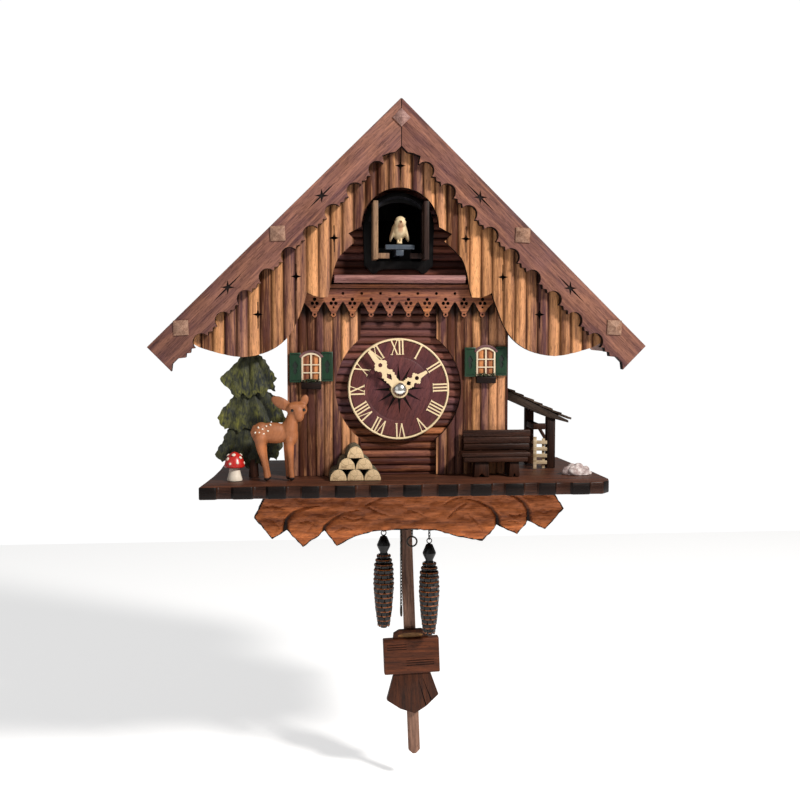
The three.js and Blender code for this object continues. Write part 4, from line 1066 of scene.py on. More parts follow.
class CarvedBase(bpy.types.Operator):
    """The carved board of overlapping leaves under the platform"""
    bl_idname = "chalet.carved_base"
    bl_label = "Carved Base"

    OUTLINE = [
        (-86.5, -8.3), (-94.6, -24), (-83.2, -38), (-73.7, -32.6), (-63.5, -43.6), (-49.4, -33.4),
        (-41.7, -43.2), (-30, -37.5), (-17.2, -34.2), (6, -33.4), (24, -34.6), (36, -38.2), (53.4, -41.9),
        (63.2, -31.5), (76.5, -37.7), (83.7, -29.2), (95, -34.7), (107.6, -21.1), (99, -8.3)]
    # Wide gouges between the leaves, from the thin upper end to the notch in the lower edge.
    GOUGES = [
        ([(-51, -16.6), (-61, -17.6), (-69.2, -20.5), (-74.4, -26), (-75.4, -34)], 3.6, 3.4),
        ([(-27.6, -19.8), (-37, -21.6), (-44.5, -26), (-49.6, -30.6), (-50.6, -35)], 3.2, 3.2),
        ([(43, -13.6), (52, -16.2), (59.5, -20.5), (63, -26), (63.4, -32.6)], 3.4, 3.4),
        ([(66.6, -10.2), (75, -12.8), (80.3, -16.4), (83.6, -22), (84, -30)], 3.2, 3.2)]
    # Short chip cuts.
    CHIPS = [
        ([(-24, -17.6), (-15, -13.2), (-9, -10.6)], 1.2, 1.3),
        ([(-22, -18), (-14, -22), (-6, -24.6)], 1.1, 1.3),
        ([(27.6, -17.4), (34, -14), (40, -12.4)], 1.1, 1.3), ([(31, -26), (37, -20), (42, -17)], 1.3, 1.5),
        ([(29, -8.6), (36, -10.4), (31, -12.6)], 0.8, 1.0), ([(4, -20.6), (11, -22.2), (18, -27)], 1.1, 1.3),
        ([(-88, -17), (-82, -16.4), (-76, -18.6)], 1.1, 1.2),
        ([(-88, -25), (-82, -26.4), (-78, -31)], 1.0, 1.1),
        ([(-66, -28), (-60, -26.4), (-56, -29)], 1.0, 1.2), ([(-64, -36), (-59, -32), (-55, -24)], 0.9, 1.0),
        ([(-44, -35), (-38, -31), (-30, -33.6)], 1.1, 1.3),
        ([(-38, -24), (-31, -26.6), (-24, -25)], 1.0, 1.2), ([(70, -24), (75, -25.8), (80, -24)], 1.0, 1.3),
        ([(69, -29), (74, -28.6), (79, -31)], 0.9, 1.0), ([(88, -12.6), (93, -11.8), (98, -13.6)], 1.0, 1.2),
        ([(88, -21), (94, -24), (100, -22)], 1.0, 1.1), ([(44, -24), (50, -29), (54, -36)], 1.0, 1.1),
        ([(-20, -29), (-8, -27.6), (4, -29)], 1.0, 1.0)]

    def depth(self, x, z):
        """How far the gouge went in at a place, in millimetres."""
        deep = 0.45 + 0.8 * noise.noise((x * 0.09, z * 0.16, 3.1)) + 0.3 * noise.noise(
            (x * 0.3, z * 0.5, 1.7))
        facets = noise.voronoi((x * 0.13, z * 0.2, 0.7))[0]
        deep += 0.8 * facets[0]
        waist = max(0.0, 1 - ((x - 4) / 34) ** 2)
        uneven = 0.8 + 0.2 * noise.noise((x * 0.2, z * 0.3, 9))
        deep += 0.8 * waist * max(0.0, min(1.0, (-17.5 - z) / 3)) * uneven
        for stroke, width, cut in self.GOUGES:
            away, along, side = near_stroke(x, z, stroke)
            reach = width * (0.25 + 0.95 * along) * (1.0 if side > 0 else 0.55)
            if away < reach:
                deep = max(deep, cut * (0.45 + 0.55 * along) * (1 - (away / reach) ** 2))
            elif side < 0 and away < reach + 9:
                deep -= 0.8 * along * (1 - (away - reach) / 9)
        for stroke, width, cut in self.CHIPS:
            away, along, side = near_stroke(x, z, stroke)
            reach = width * (0.35 + 1.3 * math.sin(math.pi * min(max(along, 0.02), 0.98)))
            if away < reach:
                deep = max(deep, deep * 0.5 + cut * (1 - away / reach))
        return max(0.0, min(4.2, deep))

    def near_edge(self, centre):
        """Whether a place lies in the scorched rim along the lower edge."""
        x, z = centre.x / MM, (centre.z - PLATFORM_TOP) / MM
        return near_stroke(x, z, self.OUTLINE)[0] < 0.55 + 0.75 * max(
            0.0, noise.noise((x * 0.16, z * 0.16, 8)))

    @staticmethod
    def hollow_shade(finish):
        """Painted shade that darkens the deep cuts, more the deeper they go."""
        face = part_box("carved_base")[0].y
        return (finish.y - face).between(1.2 * MM, 2.9 * MM) ** 1.3

    def execute(self, context):
        low, high = span("carved_base")
        c = colours()
        board = relief("carved_base_leaves", (low.x - 2, low.z - 2), (high.x + 2, high.z + 1), 0.75, low.y,
                       high.y + 3, self.depth)
        coated(board, timber("Carved wood", c.carved, c.carved_deep, [v * 0.8 for v in c.carved], SIDEWAYS,
                             gloss=0.36, blotch=34, shade=self.hollow_shade))
        outline = ragged(self.OUTLINE[:-1] + [self.OUTLINE[-1]], 2.2, 0.28, 5)
        outline = [(x, min(z, high.z)) for x, z in outline]
        cut(board, outline, high.y, low.y - 2, how='INTERSECT')
        scorched = list(board.data.materials).index(cut_edge())
        repaint(board, scorched, lambda centre, normal:
                centre.y < low.y * MM + 4.5 * MM and self.near_edge(centre))
        settle(board, "case", "carved_wood", "carved_base", smooth=32)
        return {'FINISHED'}


# ------------------------------------------------------------------ dial and hands

DIAL_TILT = -1.8
NUMERALS = ("XII", "I", "II", "III", "IIII", "V", "VI", "VII", "VIII", "IX", "X", "XI")


class Dial(bpy.types.Operator):
    """The wooden disc with its engraved star, the ring and the Roman numerals"""
    bl_idname = "chalet.dial"
    bl_label = "Dial"

    OUTER = 31.9

    def letter(self, kind, x, half, thick):
        """Strokes of one letter as (bottom x, top x, width), with the feet at the bottom."""
        thin = thick * 0.55
        if kind == "I":
            return [(x, x, thick)], [x]
        if kind == "V":
            return [(x, x - half, thick), (x, x + half, thin)], [x - half, x + half]
        return [(x + half, x - half, thick), (x - half, x + half, thin)], [x - half, x + half]

    def numeral(self, text, hour, centre, face):
        s = sizes()
        tall, thick = mm(s.numeral), mm(s.stroke)
        half = {"I": 0.0, "V": 1.75, "X": 1.85}
        advance = {"I": thick + 1.15, "V": 4.5, "X": 4.7}
        width = sum(advance[k] for k in text)
        x = -width / 2
        outlines = []
        low, top = self.OUTER - tall, self.OUTER
        for kind in text:
            middle = x + advance[kind] / 2
            strokes, tops = self.letter(kind, middle, half[kind], thick)
            for foot, head, wide in strokes:
                outlines.append([(foot - wide / 2, low), (foot + wide / 2, low),
                                 (head + wide / 2, top), (head - wide / 2, top)])
            feet = [middle] if kind in "IV" else tops
            for place, z in [(t, top) for t in tops] + [(f, low) for f in feet]:
                if kind == "V" and z == low:
                    continue
                outlines.append([(place - thick * 0.85, z - 0.22), (place + thick * 0.85, z - 0.22),
                                 (place + thick * 0.85, z + 0.22), (place - thick * 0.85, z + 0.22)])
            x += advance[kind]
        parts = []
        for i, points in enumerate(outlines):
            placed = swung(points, hour * 30 + DIAL_TILT, centre.x, centre.z)
            parts.append(sawn("stroke", placed, face + 0.4, face - 0.34 - 0.012 * (i % 5)))
        return parts

    def execute(self, context):
        c = colours()
        low, high = span("dial")
        centre = (low + high) / 2
        radius = high.x - centre.x
        profile = [(4.3, 0), (radius, 0), (radius, high.y - low.y - 0.5), (radius - 0.5, high.y - low.y),
                   (21.5, high.y - low.y), (20.8, high.y - low.y - 0.25), (20.1, high.y - low.y),
                   (4.3, high.y - low.y)]
        disc = turned("dial_disc", profile, (0, high.y, centre.z), (0, -1, 0), 96, closed=True)
        coated(disc, timber("Dial wood", c.dial, [v * 0.5 for v in c.dial], c.mauve, (0, 20, 0), gloss=0.42,
                            blotch=26, grain=0.8), cut_edge())
        star = [(r * math.sin(math.radians(a)), r * math.cos(math.radians(a)))
                for a, r in ((i * 15, 17.2 if i % 2 == 0 else 4.6) for i in range(24))]
        placed = swung(star, DIAL_TILT, 0, centre.z)
        cut(disc, placed, low.y + 0.7, low.y - 1)
        settle(disc, "case", "dial_wood", "dial")

        cream = paint("Ring cream", c.cream, [v * 0.8 for v in c.cream], gloss=0.4, brush=1.6,
                      relief_depth=0.05)
        ring_low, ring_high = span("dial_ring")
        outer = ring_high.x
        section = [(outer - 1.3, 0), (outer, 0), (outer, ring_high.y - ring_low.y - 0.5),
                   (outer - 0.3, ring_high.y - ring_low.y - 0.1), (outer - 0.65, ring_high.y - ring_low.y),
                   (outer - 1.0, ring_high.y - ring_low.y - 0.1),
                   (outer - 1.3, ring_high.y - ring_low.y - 0.5)]
        ring = turned("dial_ring_rounded", section, (0, ring_high.y, centre.z), (0, -1, 0), 120, closed=True)
        settle(coated(ring, cream), "case", "cream_plastic", "dial_ring")
        strokes = []
        for hour, text in enumerate(NUMERALS):
            strokes += self.numeral(text, hour, centre, low.y)
        numerals = coated(together("numerals", strokes), cream)
        settle(numerals, "case", "cream_plastic", smooth=20)
        return {'FINISHED'}


class Hands(bpy.types.Operator):
    """Pierced, saw-edged hands with their domed nut"""
    bl_idname = "chalet.hands"
    bl_label = "Hands"

    def blade(self, reach):
        right = [(3.3, 0.24), (4.1, 0.27), (3.4, 0.30), (4.4, 0.335), (3.6, 0.37), (4.5, 0.41), (3.2, 0.44),
                 (2.3, 0.49), (2.7, 0.53), (3.9, 0.55), (4.0, 0.585), (4.9, 0.60), (4.6, 0.65), (3.4, 0.67),
                 (3.0, 0.705), (1.9, 0.715), (1.75, 0.80), (1.35, 0.9), (1.25, 0.985)]
        slim = 0.86 if reach < 25 else 1.0
        right = [(x * slim, z * reach) for x, z in right]
        hub = arc(0, 0, 5.6, 54, -234, 34)
        return hub + [(-x, z) for x, z in right] + [(0, reach)] + right[::-1]

    def execute(self, context):
        c = colours()
        centre = (span("dial")[0] + span("dial")[1]) / 2
        cream = paint("Hand cream", [v * 0.97 for v in c.cream], [v * 0.74 for v in c.cream], gloss=0.38,
                      brush=1.8, relief_depth=0.05)
        minute_high = span("minute_hand")[1]
        hour_high = span("hour_hand")[1]
        nut_high = span("hand_nut")[1]
        minute_back, thick = nut_high.y + 0.8, 1.0
        hour_face = minute_back + 0.7
        for name, body, reach, angle, face, tube, back in (
                ("minute_hand", "minute_hand", 32.2, 321.3, minute_back - thick, 1.2, minute_high.y),
                ("hour_hand", "hour_hand", 21.5, 57.5, hour_face, 2.5, hour_high.y)):
            hand = sawn(f"{name}_pierced", swung(self.blade(reach), angle, 0, centre.z), face + thick, face)
            heart = [(0, 0.25), (1.2, 0.31), (1.7, 0.36), (0.8, 0.375), (0, 0.42), (-0.8, 0.375),
                     (-1.7, 0.36), (-1.2, 0.31)]
            window = swung([(x, z * reach) for x, z in heart], angle, 0, centre.z)
            carve(hand, sawn("fretsaw", window, face + 3, face - 1))
            eye = swung(arc(0, reach * 0.63, 1.35, 0, 337.5, 15), angle, 0, centre.z)
            carve(hand, sawn("fretsaw", eye, face + 3, face - 1))
            if name == "hour_hand":
                carve(hand, rod("bore", (0, face + 3, centre.z), (0, face - 1, centre.z), 1.4, sides=20))
                section = [(1.4, 0), (tube, 0), (tube, back - face - thick), (1.4, back - face - thick)]
                stem = turned("tube", section, (0, face + thick - 0.1, centre.z), (0, 1, 0), 24, closed=True)
            else:
                stem = rod("arbor", (0, back, centre.z), (0, face + thick - 0.1, centre.z), tube, sides=24)
            eased(hand, 0.14, 1)
            settle(coated(together(f"{name}_blade", [hand, stem]), cream), body, "cream_plastic", name)
        dome = [(0, 3.8), *[(4.7 * math.sin(math.radians(a)), 3.8 * math.cos(math.radians(a)))
                            for a in range(10, 90, 10)], (4.7, 0), (0, 0)]
        nut = turned("hand_nut_dome", dome, (0, nut_high.y, centre.z), (0, -1, 0), 48)
        settle(coated(nut, metal("Bright dome", tone("e9e6df"), gloss=0.2, tarnish=0.25)), "minute_hand",
               "steel", "hand_nut", smooth=50)
        dress("center_bush", metal("Bush brass", tone("c7a35a"), gloss=0.3))
        dress("dial_nut", metal("Nut brass", tone("b8955a"), gloss=0.32))
        return {'FINISHED'}


# ------------------------------------------------------------------ the bird and its doorway

class Doorway(bpy.types.Operator):
    """The black frame, the two panelled doors and the carriage under the bird"""
    bl_idname = "chalet.doorway"
    bl_label = "Doorway"

    def execute(self, context):
        low, high = span("door_frame")
        foot = through([(23.2, 137.4), (20.5, 136), (18.4, 133.4), (15.4, 132.4), (12.4, 134.6), (6, 135.3),
                        (0, 135.2)], 3)
        arch = arc(0, 162, 23.2, 90, 0, 20)
        outline = both_sides([(0, 185.2), *arch[1:], *foot[1:-1], (0, 135.2)])
        frame_piece = sawn("door_frame_arched", outline, high.y, low.y)
        eased(frame_piece, 0.5, 2)
        black = timber("Doorway black", tone("161312"), tone("060505"), tone("101115"), UPRIGHT, gloss=0.34)
        # The rim is a grey-blue copy of the black wood: a painted reflection on the glossy black arch over the
        # opening.
        rim = timber("Doorway rim", tone("35333a"), tone("151416"), tone("2a2b33"), UPRIGHT, gloss=0.4)
        coated(frame_piece, black, rim, cut_edge())
        cut(frame_piece, doorway(0), high.y + 1, low.y - 1, black)
        # The groove over the opening takes the rim finish, the painted reflection.
        half_outer = arc(0, 162, 20.4, 12, 168, 24)
        half_inner = arc(0, 162, 18.9, 168, 12, 24)
        groove = half_outer + half_inner
        cut(frame_piece, groove, low.y + 0.8, low.y - 1, rim)
        settle(frame_piece, "case", "black_wood", "door_frame")
        for side, word, finish in (
                (-1, "left", timber("Door tan", tone("9c7a5a"), tone("5b4030"), tone("77605a"), UPRIGHT)),
                (1, "right", timber("Door brown", tone("38251d"), tone("160d0a"), tone("2a2024"), UPRIGHT))):
            self.door(side, word, finish)
        self.carriage()
        return {'FINISHED'}

    def door(self, side, word, finish):
        """A leaf standing open, with a sunk panel on each face and its link at the back."""
        low, high = span(f"door_{word}")
        hinge = side * 16.3
        axis = low.y + 16.0
        thick = 1.6
        leaf = moulded(f"door_{word}_panelled", [
            (axis, low.z), (low.y, low.z), (low.y, high.z), (low.y + 8, high.z - 0.7), (axis, high.z - 2)],
            hinge - thick, hinge + thick)
        eased(leaf, 0.3, 2)
        for face in (-1, 1):
            start = hinge + face * (thick - 0.7)
            sunk = moulded("sunk", [(axis - 3, low.z + 4), (low.y + 3, low.z + 4), (low.y + 3, high.z - 5),
                                    (axis - 3, high.z - 6.4)],
                            min(start, start + face * 3), max(start, start + face * 3))
            carve(leaf, eased(sunk, 0.5, 1))
        stile = rod("stile", (hinge, axis, low.z), (hinge, axis, high.z - 2), 1.6, sides=24)
        pieces = [leaf, stile]
        link_y = axis - 4.6
        inward = -side
        pieces.append(eased(block("link", (min(hinge, hinge + inward * 9.6), link_y - 0.8, low.z + 1),
                                  (max(hinge, hinge + inward * 9.6), link_y + 0.8, low.z + 4.5)), 0.3, 2))
        settle(coated(together(f"door_{word}_leaf", pieces), finish), f"door_{word}",
               "raw_wood" if side < 0 else "black_wood", f"door_{word}")

    def carriage(self):
        low, high = span("cuckoo_carriage")
        bar = eased(block("bar", (low.x, low.y, high.z - 3.1), (high.x, low.y + 4, high.z)), 0.7, 3)
        slide = eased(block("slide", (-2.5, low.y + 1, low.z), (2.5, high.y, high.z - 2.9)), 0.4, 2)
        steel = paint("Carriage grey", tone("4a535e"), tone("272c34"), gloss=0.3, brush=1.2,
                      relief_depth=0.05)
        settle(coated(together("cuckoo_perch", [bar, slide]), steel), "cuckoo", "steel", "cuckoo_carriage")
        dress("cuckoo_guide", moulded_plastic("Guide black", tone("161617"), gloss=0.5))


class Cuckoo(bpy.types.Operator):
    """The small carved bird"""
    bl_idname = "chalet.cuckoo"
    bl_label = "Cuckoo"

    @staticmethod
    def feathers():
        c = colours()
        finish = Finish("Cuckoo cream")
        strokes = finish.noise(finish.mapped((60, 0, 0), (1, 1, 4)), 0.9, 3.0)
        patch = finish.noise(finish.coords, 5, 2.0)
        cream = finish.mix((strokes * 0.8 + patch * 0.5 - 0.3).clamp(), [v * 0.96 for v in c.cream],
                           [v * 0.62 for v in c.cream])
        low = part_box("cuckoo")[0]
        bill = (low.y + 2.9 * MM - finish.y).between(0, 0.8 * MM)
        wings = abs(finish.x).between(3.9 * MM, 5.2 * MM) * 0.4
        throat = ((2.2 * MM - abs(finish.x)).between(0, 0.8 * MM) * (low.y + 8 * MM - finish.y).between(0, MM)
                  * (PLATFORM_TOP + 165 * MM - finish.z).between(0, 1.5 * MM) * 0.7)
        brown = finish.mix(throat, finish.mix(wings, cream, tone("b59a78")), tone("9a5a34"))
        finish.set(Base_Color=finish.mix(bill, brown, tone("7c2f1c")),
                   Roughness=(strokes * 0.25 + 0.38).clamp(), Normal=finish.bump(strokes, 0.12))
        return finish.material

    def execute(self, context):
        low = span("cuckoo")[0]
        parts = [
            ball("body", (0, -94, 160.2), (5.0, 9.6, 5.8), (-14, 0, 0)),
            ball("breast", (0, -99, 160.6), (4.3, 4.6, 4.8)),
            ball("head", (0, -102.2, 165), (3.7, 4.1, 3.8)),
            rod("beak", (0, -104.6, 165), (0, low.y, 164.6), 1.3, 0.25),
            ball("tail", (0, -83.6, 157.2), (2.5, 6, 1.2)), ball("legs", (-1, -96, 154.4), (0.8, 0.9, 3.2)),
            ball("legs", (1, -96, 154.4), (0.8, 0.9, 3.2)), ball("toes", (0, -96.4, 152), (1.9, 1.8, 0.8)),
            ball("wing", (-4.3, -95, 158.8), (1.3, 4.6, 6.4), (12, 16, 0)),
            ball("wing", (4.3, -95, 158.8), (1.3, 4.6, 6.4), (12, -16, 0))]
        bird = blended(together("cuckoo_carved", parts), 0.36, 4)
        coated(bird, self.feathers())
        settle(bird, "cuckoo", "raw_wood", "cuckoo", smooth=60)
        eyes = []
        for side in (-1, 1):
            eyes.append(ball("eye", (side * 2.75, -104.0, 166.1), (0.62, 0.62, 0.62), segments=12, rings=8))
        settle(coated(together("cuckoo_eyes", eyes), moulded_plastic("Eye black", tone("0b0908"), gloss=0.2)),
               "cuckoo", "black_plastic", smooth=60)
        return {'FINISHED'}


# ------------------------------------------------------------------ windows

class Windows(bpy.types.Operator):
    """Arched windows with glazing bars, lintels, shutters and flower boxes"""
    bl_idname = "chalet.windows"
    bl_label = "Windows"

    def bent_strip(self, x, z, radius, reach, thick):
        outer = arc(x, z, radius + thick, 90 - reach, 90 + reach, 12)
        return outer + arc(x, z, radius, 90 + reach, 90 - reach, 12)

    def window(self, word, finishes):
        white, pane, lintel_finish = finishes
        low, high = span(f"window_frame_{word}")
        x, half = (low.x + high.x) / 2, (high.x - low.x) / 2
        rise = 3.2
        radius = (half * half + rise * rise) / (2 * rise)
        reach = math.degrees(math.asin(half / radius))
        sill, crown = low.z, high.z
        heart = crown - radius
        glass = sawn(f"window_panes_{word}", [(x - half + 0.5, sill + 0.3), (x + half - 0.5, sill + 0.3),
                                              *arc(x, heart - 0.9, radius, 90 - reach + 3, 90 + reach - 3,
                                                   10)],
                     high.y, high.y - 1.0)
        settle(coated(eased(glass, 0.15, 1), pane), "case", "amber_wood", smooth=20)
        front, back = low.y + 0.5, high.y - 0.05
        outline = [(x - half, sill), (x + half, sill),
                   *arc(x, heart - 1.7, radius, 90 - reach, 90 + reach, 16)]
        frame_piece = sawn(f"window_frame_{word}_barred", outline, back, front)
        eased(frame_piece, 0.25, 2)
        columns = ((x - half + 1.15, x - 0.55), (x + 0.55, x + half - 1.15))
        bottom = sill + 0.9
        rows = ((bottom, bottom + 4.5), (bottom + 5.2, bottom + 9.7))
        coated(frame_piece, white)
        for left, right in columns:
            for z0, z1 in rows:
                carve(frame_piece, coated(block("pane", (left, back - 9, z0), (right, back + 2, z1)), white))
            edge = arc(x, heart - 3.0, radius, 90 - reach, 90 + reach, 30)
            crown_edge = sorted((p for p in edge if left <= p[0] <= right), reverse=True)
            upper = [(left, bottom + 10.4), (right, bottom + 10.4), (right, crown_edge[0][1]),
                     *crown_edge[1:-1], (left, crown_edge[-1][1])]
            cut(frame_piece, upper, back + 2, back - 9, white)
        settle(frame_piece, "case", "white_paint", f"window_frame_{word}")
        strip = self.bent_strip(x, heart - 1.6, radius, reach + 4, 1.5)
        lintel = sawn(f"window_lintel_{word}", strip, back, low.y)
        settle(coated(eased(lintel, 0.3, 2), lintel_finish), "case", "walnut")

    def shutter(self, word, hand, green, dark):
        low, high = span(f"shutter_{word}_{hand}")
        panel = eased(block(f"shutter_{word}_{hand}_panel", tuple(low), tuple(high)), 0.4, 2)
        coated(panel, green, dark)
        x, z = (low.x + high.x) / 2, (low.z + high.z) / 2
        leaf = [(0, 4.6), (1.0, 3.0), (1.9, 1.4), (1.3, 0.0), (0.5, -0.6), (1.4, -1.8), (0.9, -3.6),
                (0, -4.8)]
        whole = [(x + u, z + v) for u, v in both_sides(leaf)]
        cut(panel, whole, low.y + 0.55, low.y - 1, dark)
        for z0 in (low.z + 1.1, high.z - 1.5):
            line = [(low.x + 0.9, z0), (high.x - 0.9, z0), (high.x - 0.9, z0 + 0.4), (low.x + 0.9, z0 + 0.4)]
            cut(panel, line, low.y + 0.4, low.y - 1, dark)
        settle(panel, "case", "green_paint", f"shutter_{word}_{hand}")

    def flower_box(self, word, box_wood, leaves, petals):
        low, high = span(f"flower_box_{word}")
        trough = moulded(f"flower_box_{word}_trough", [
            (high.y, low.z), (low.y + 1, low.z), (low.y, high.z - 0.8), (low.y + 0.2, high.z),
            (high.y, high.z)],
            low.x, high.x)
        settle(coated(eased(trough, 0.3, 2), box_wood), "case", "black_wood", f"flower_box_{word}")
        chance = random.Random(len(word) * 7)
        bpy.ops.mesh.primitive_ico_sphere_add(subdivisions=1, radius=MM)
        leaf = fresh("leaf")
        clumps = {"leaves": [], "petals": []}
        for i in range(60):
            kind = "petals" if i % 7 == 0 else "leaves"
            size = chance.uniform(0.6, 1.15) if kind == "leaves" else chance.uniform(0.35, 0.55)
            place = spot(chance.uniform(low.x + 0.9, high.x - 0.9), chance.uniform(low.y + 0.9, high.y - 1.4),
                         high.z + chance.uniform(0.0, 1.9))
            matrix = Matrix.Translation(place) @ Matrix.Rotation(
                chance.uniform(0, 6.3), 4, 'Z') @ Matrix.Rotation(
                chance.uniform(-0.7, 0.7), 4, 'X') @ Matrix.Diagonal((size, size * 0.7, size * 0.45, 1))
            clumps[kind].append(copied(leaf, "leaf", matrix))
        bpy.data.objects.remove(leaf)
        for kind, finish in (("leaves", leaves), ("petals", petals)):
            settle(coated(together(f"flower_{kind}_{word}", clumps[kind]), finish),
                   "case", "tree_paint", smooth=60)

    def execute(self, context):
        c = colours()
        white = paint("Window white", tone("dfcdb0"), tone("b8a184"), gloss=0.4, brush=1.4)
        pane = timber("Window pane", tone("b8794c"), tone("6a3a26"), tone("7a4a5a"), UPRIGHT, gloss=0.24,
                      boards=("x", 3.1, 0.4), variety=0.9)
        lintel = timber("Lintel", tone("7d5a58"), tone("4a2e30"), tone("654a56"), SIDEWAYS, gloss=0.42)
        green = paint("Shutter green", c.shutter, [v * 0.55 for v in c.shutter], gloss=0.36, brush=1.5)
        dark = paint("Shutter carving", [v * 0.16 for v in c.shutter], [v * 0.3 for v in c.shutter],
                     gloss=0.5)
        # The flower box's near-black is dark wood deepened by painted shade under the window.
        box_wood = dark_wood("Flower box", SIDEWAYS, lift=0.14)
        leaves = paint("Box leaves", tone("2f3a18"), tone("141b0f"), gloss=0.55, brush=0.8)
        petals = paint("Box petals", tone("8a3a30"), tone("9c7a3a"), gloss=0.5, brush=0.8)
        for word in ("left", "right"):
            self.window(word, (white, pane, lintel))
            for hand in ("left", "right"):
                self.shutter(word, hand, green, dark)
            self.flower_box(word, box_wood, leaves, petals)
        return {'FINISHED'}


# ------------------------------------------------------------------ figures on the platform

class FirTree(bpy.types.Operator):
    """A carved fir of three drooping tiers"""
    bl_idname = "chalet.fir_tree"
    bl_label = "Fir Tree"

    # Each tier: the apex it hangs from, its outline, and how deep its upper end lies.
    TIERS = [
        ((-97, 40), [(-97, 42), (-88, 36), (-80, 33), (-76, 20), (-78.5, 17), (-80, 11), (-84, 12.6),
                     (-88, 7), (-93, 9.4), (-98, 5.6), (-103, 9), (-108, 7), (-111.6, 11), (-115.5, 10),
                     (-120, 15.5), (-115.6, 22), (-112, 31), (-108, 37)], 2.4),
        ((-97, 60), [(-97, 61), (-88, 57.6), (-80.5, 53), (-76.8, 45.6), (-73.6, 38), (-79.6, 34.4),
                     (-83.6, 37), (-87, 32.6), (-91.6, 34.8), (-96, 30.4), (-100.6, 33), (-104.6, 29.6),
                     (-108.4, 32.4), (-113.4, 31.6), (-118, 39), (-113, 46.6), (-107, 55)], 1.5),
        ((-97, 83), [(-97, 82), (-89, 79), (-84.4, 72), (-79.5, 64.5), (-82, 62), (-80.6, 56), (-85, 57.4),
                     (-88, 52.6), (-92.4, 55.8), (-97, 51.4), (-101.4, 55.6), (-105, 52), (-109.5, 56.5),
                     (-116, 64.5), (-110.4, 70), (-104, 77)], 0.5)]

    @staticmethod
    def needles():
        c = colours()
        finish = Finish("Fir green")
        strokes = finish.noise(finish.mapped((0, 0, 0), (1, 1, 3.4)), 2.1, 4.0, 1.6)
        fine = finish.noise(finish.mapped((0, 14, 0), (1, 1, 5)), 0.6, 3.0)
        patch = finish.noise(finish.coords, 9, 2.0)
        green = finish.ramp(strokes * 0.6 + patch * 0.4, (0.42, c.needle), (0.55, [v * 0.45 for v in c.leaf]),
                            (0.68, c.leaf))
        # Painted shade: the deeper parts of the carving are darkened towards the dark needle green.
        recess_shade = (finish.y - (-94.6 * MM)).between(0, 2.4 * MM)
        green = finish.mix(recess_shade * 0.8, green, c.needle)
        # Painted highlight: the frontmost raised needles are lightened with yellow-green.
        edge = (finish.y - (-95.0 * MM)).between(0, -0.45 * MM) * (fine > 0.5) * 0.4
        green = finish.mix(edge, green, tone("a09a4a"))
        top = (finish.z - (PLATFORM_TOP + 58 * MM)).between(0, 16 * MM) * 0.55
        green = finish.mix(top, green, [v * 0.8 for v in c.needle])
        finish.set(Base_Color=green, Roughness=(strokes * 0.3 + 0.5).clamp(),
                   Normal=finish.bump(strokes * 0.6 + fine * 0.5, 0.7))
        return finish.material

    def execute(self, context):
        low, high = span("tree")
        green = self.needles()
        for tier, (apex, outline, sunk) in enumerate(self.TIERS):
            bottom = min(z for x, z in outline)
            top = max(z for x, z in outline)

            def depth(x, z):
                angle = math.atan2(x - apex[0], apex[1] + 5 - z)
                reach = math.hypot(x - apex[0], apex[1] - z) / (apex[1] - bottom)
                groove = abs(math.sin(angle * 7.5 + 0.7 * noise.noise((x * 0.12, z * 0.12, tier)))) ** 0.6
                lift = 2.6 * (1 - min(1.0, reach)) ** 1.2
                wild = noise.noise((x * 0.3, z * 0.16, 4.0 + tier)) + 0.7 * noise.noise(
                    (x * 0.11, z * 0.09, tier))
                droop = 0.9 * max(0.0, reach - 0.85) / 0.3
                return max(0.0, min(6.0, sunk + lift + 1.5 * (1 - groove) + wild * 0.9 + droop))

            xs = [x for x, z in outline]
            panel = relief("tier", (min(xs) - 1, bottom - 1), (max(xs) + 1, top + 1), 0.72,
                           low.y, high.y + 4, depth)
            coated(panel, green)
            shape = ragged(outline, 1.5, 0.75, 31 + tier)
            back = high.y - 0.4 * tier
            cut(panel, shape, back, low.y - 2, green, how='INTERSECT')
            settle(panel, "case", "tree_paint", *(["tree"] if tier == 2 else []), smooth=34)
            panel.name = f"fir_tier_{tier + 1}"
        trunk = rod("fir_trunk", (-95, -90.5, low.z), (-95, -90.5, 12), 3.4, 2.6, 18)
        eased(trunk, 0.3, 2)
        settle(coated(trunk, dark_wood("Fir trunk", UPRIGHT, lift=0.8)), "case", "bark")
        return {'FINISHED'}


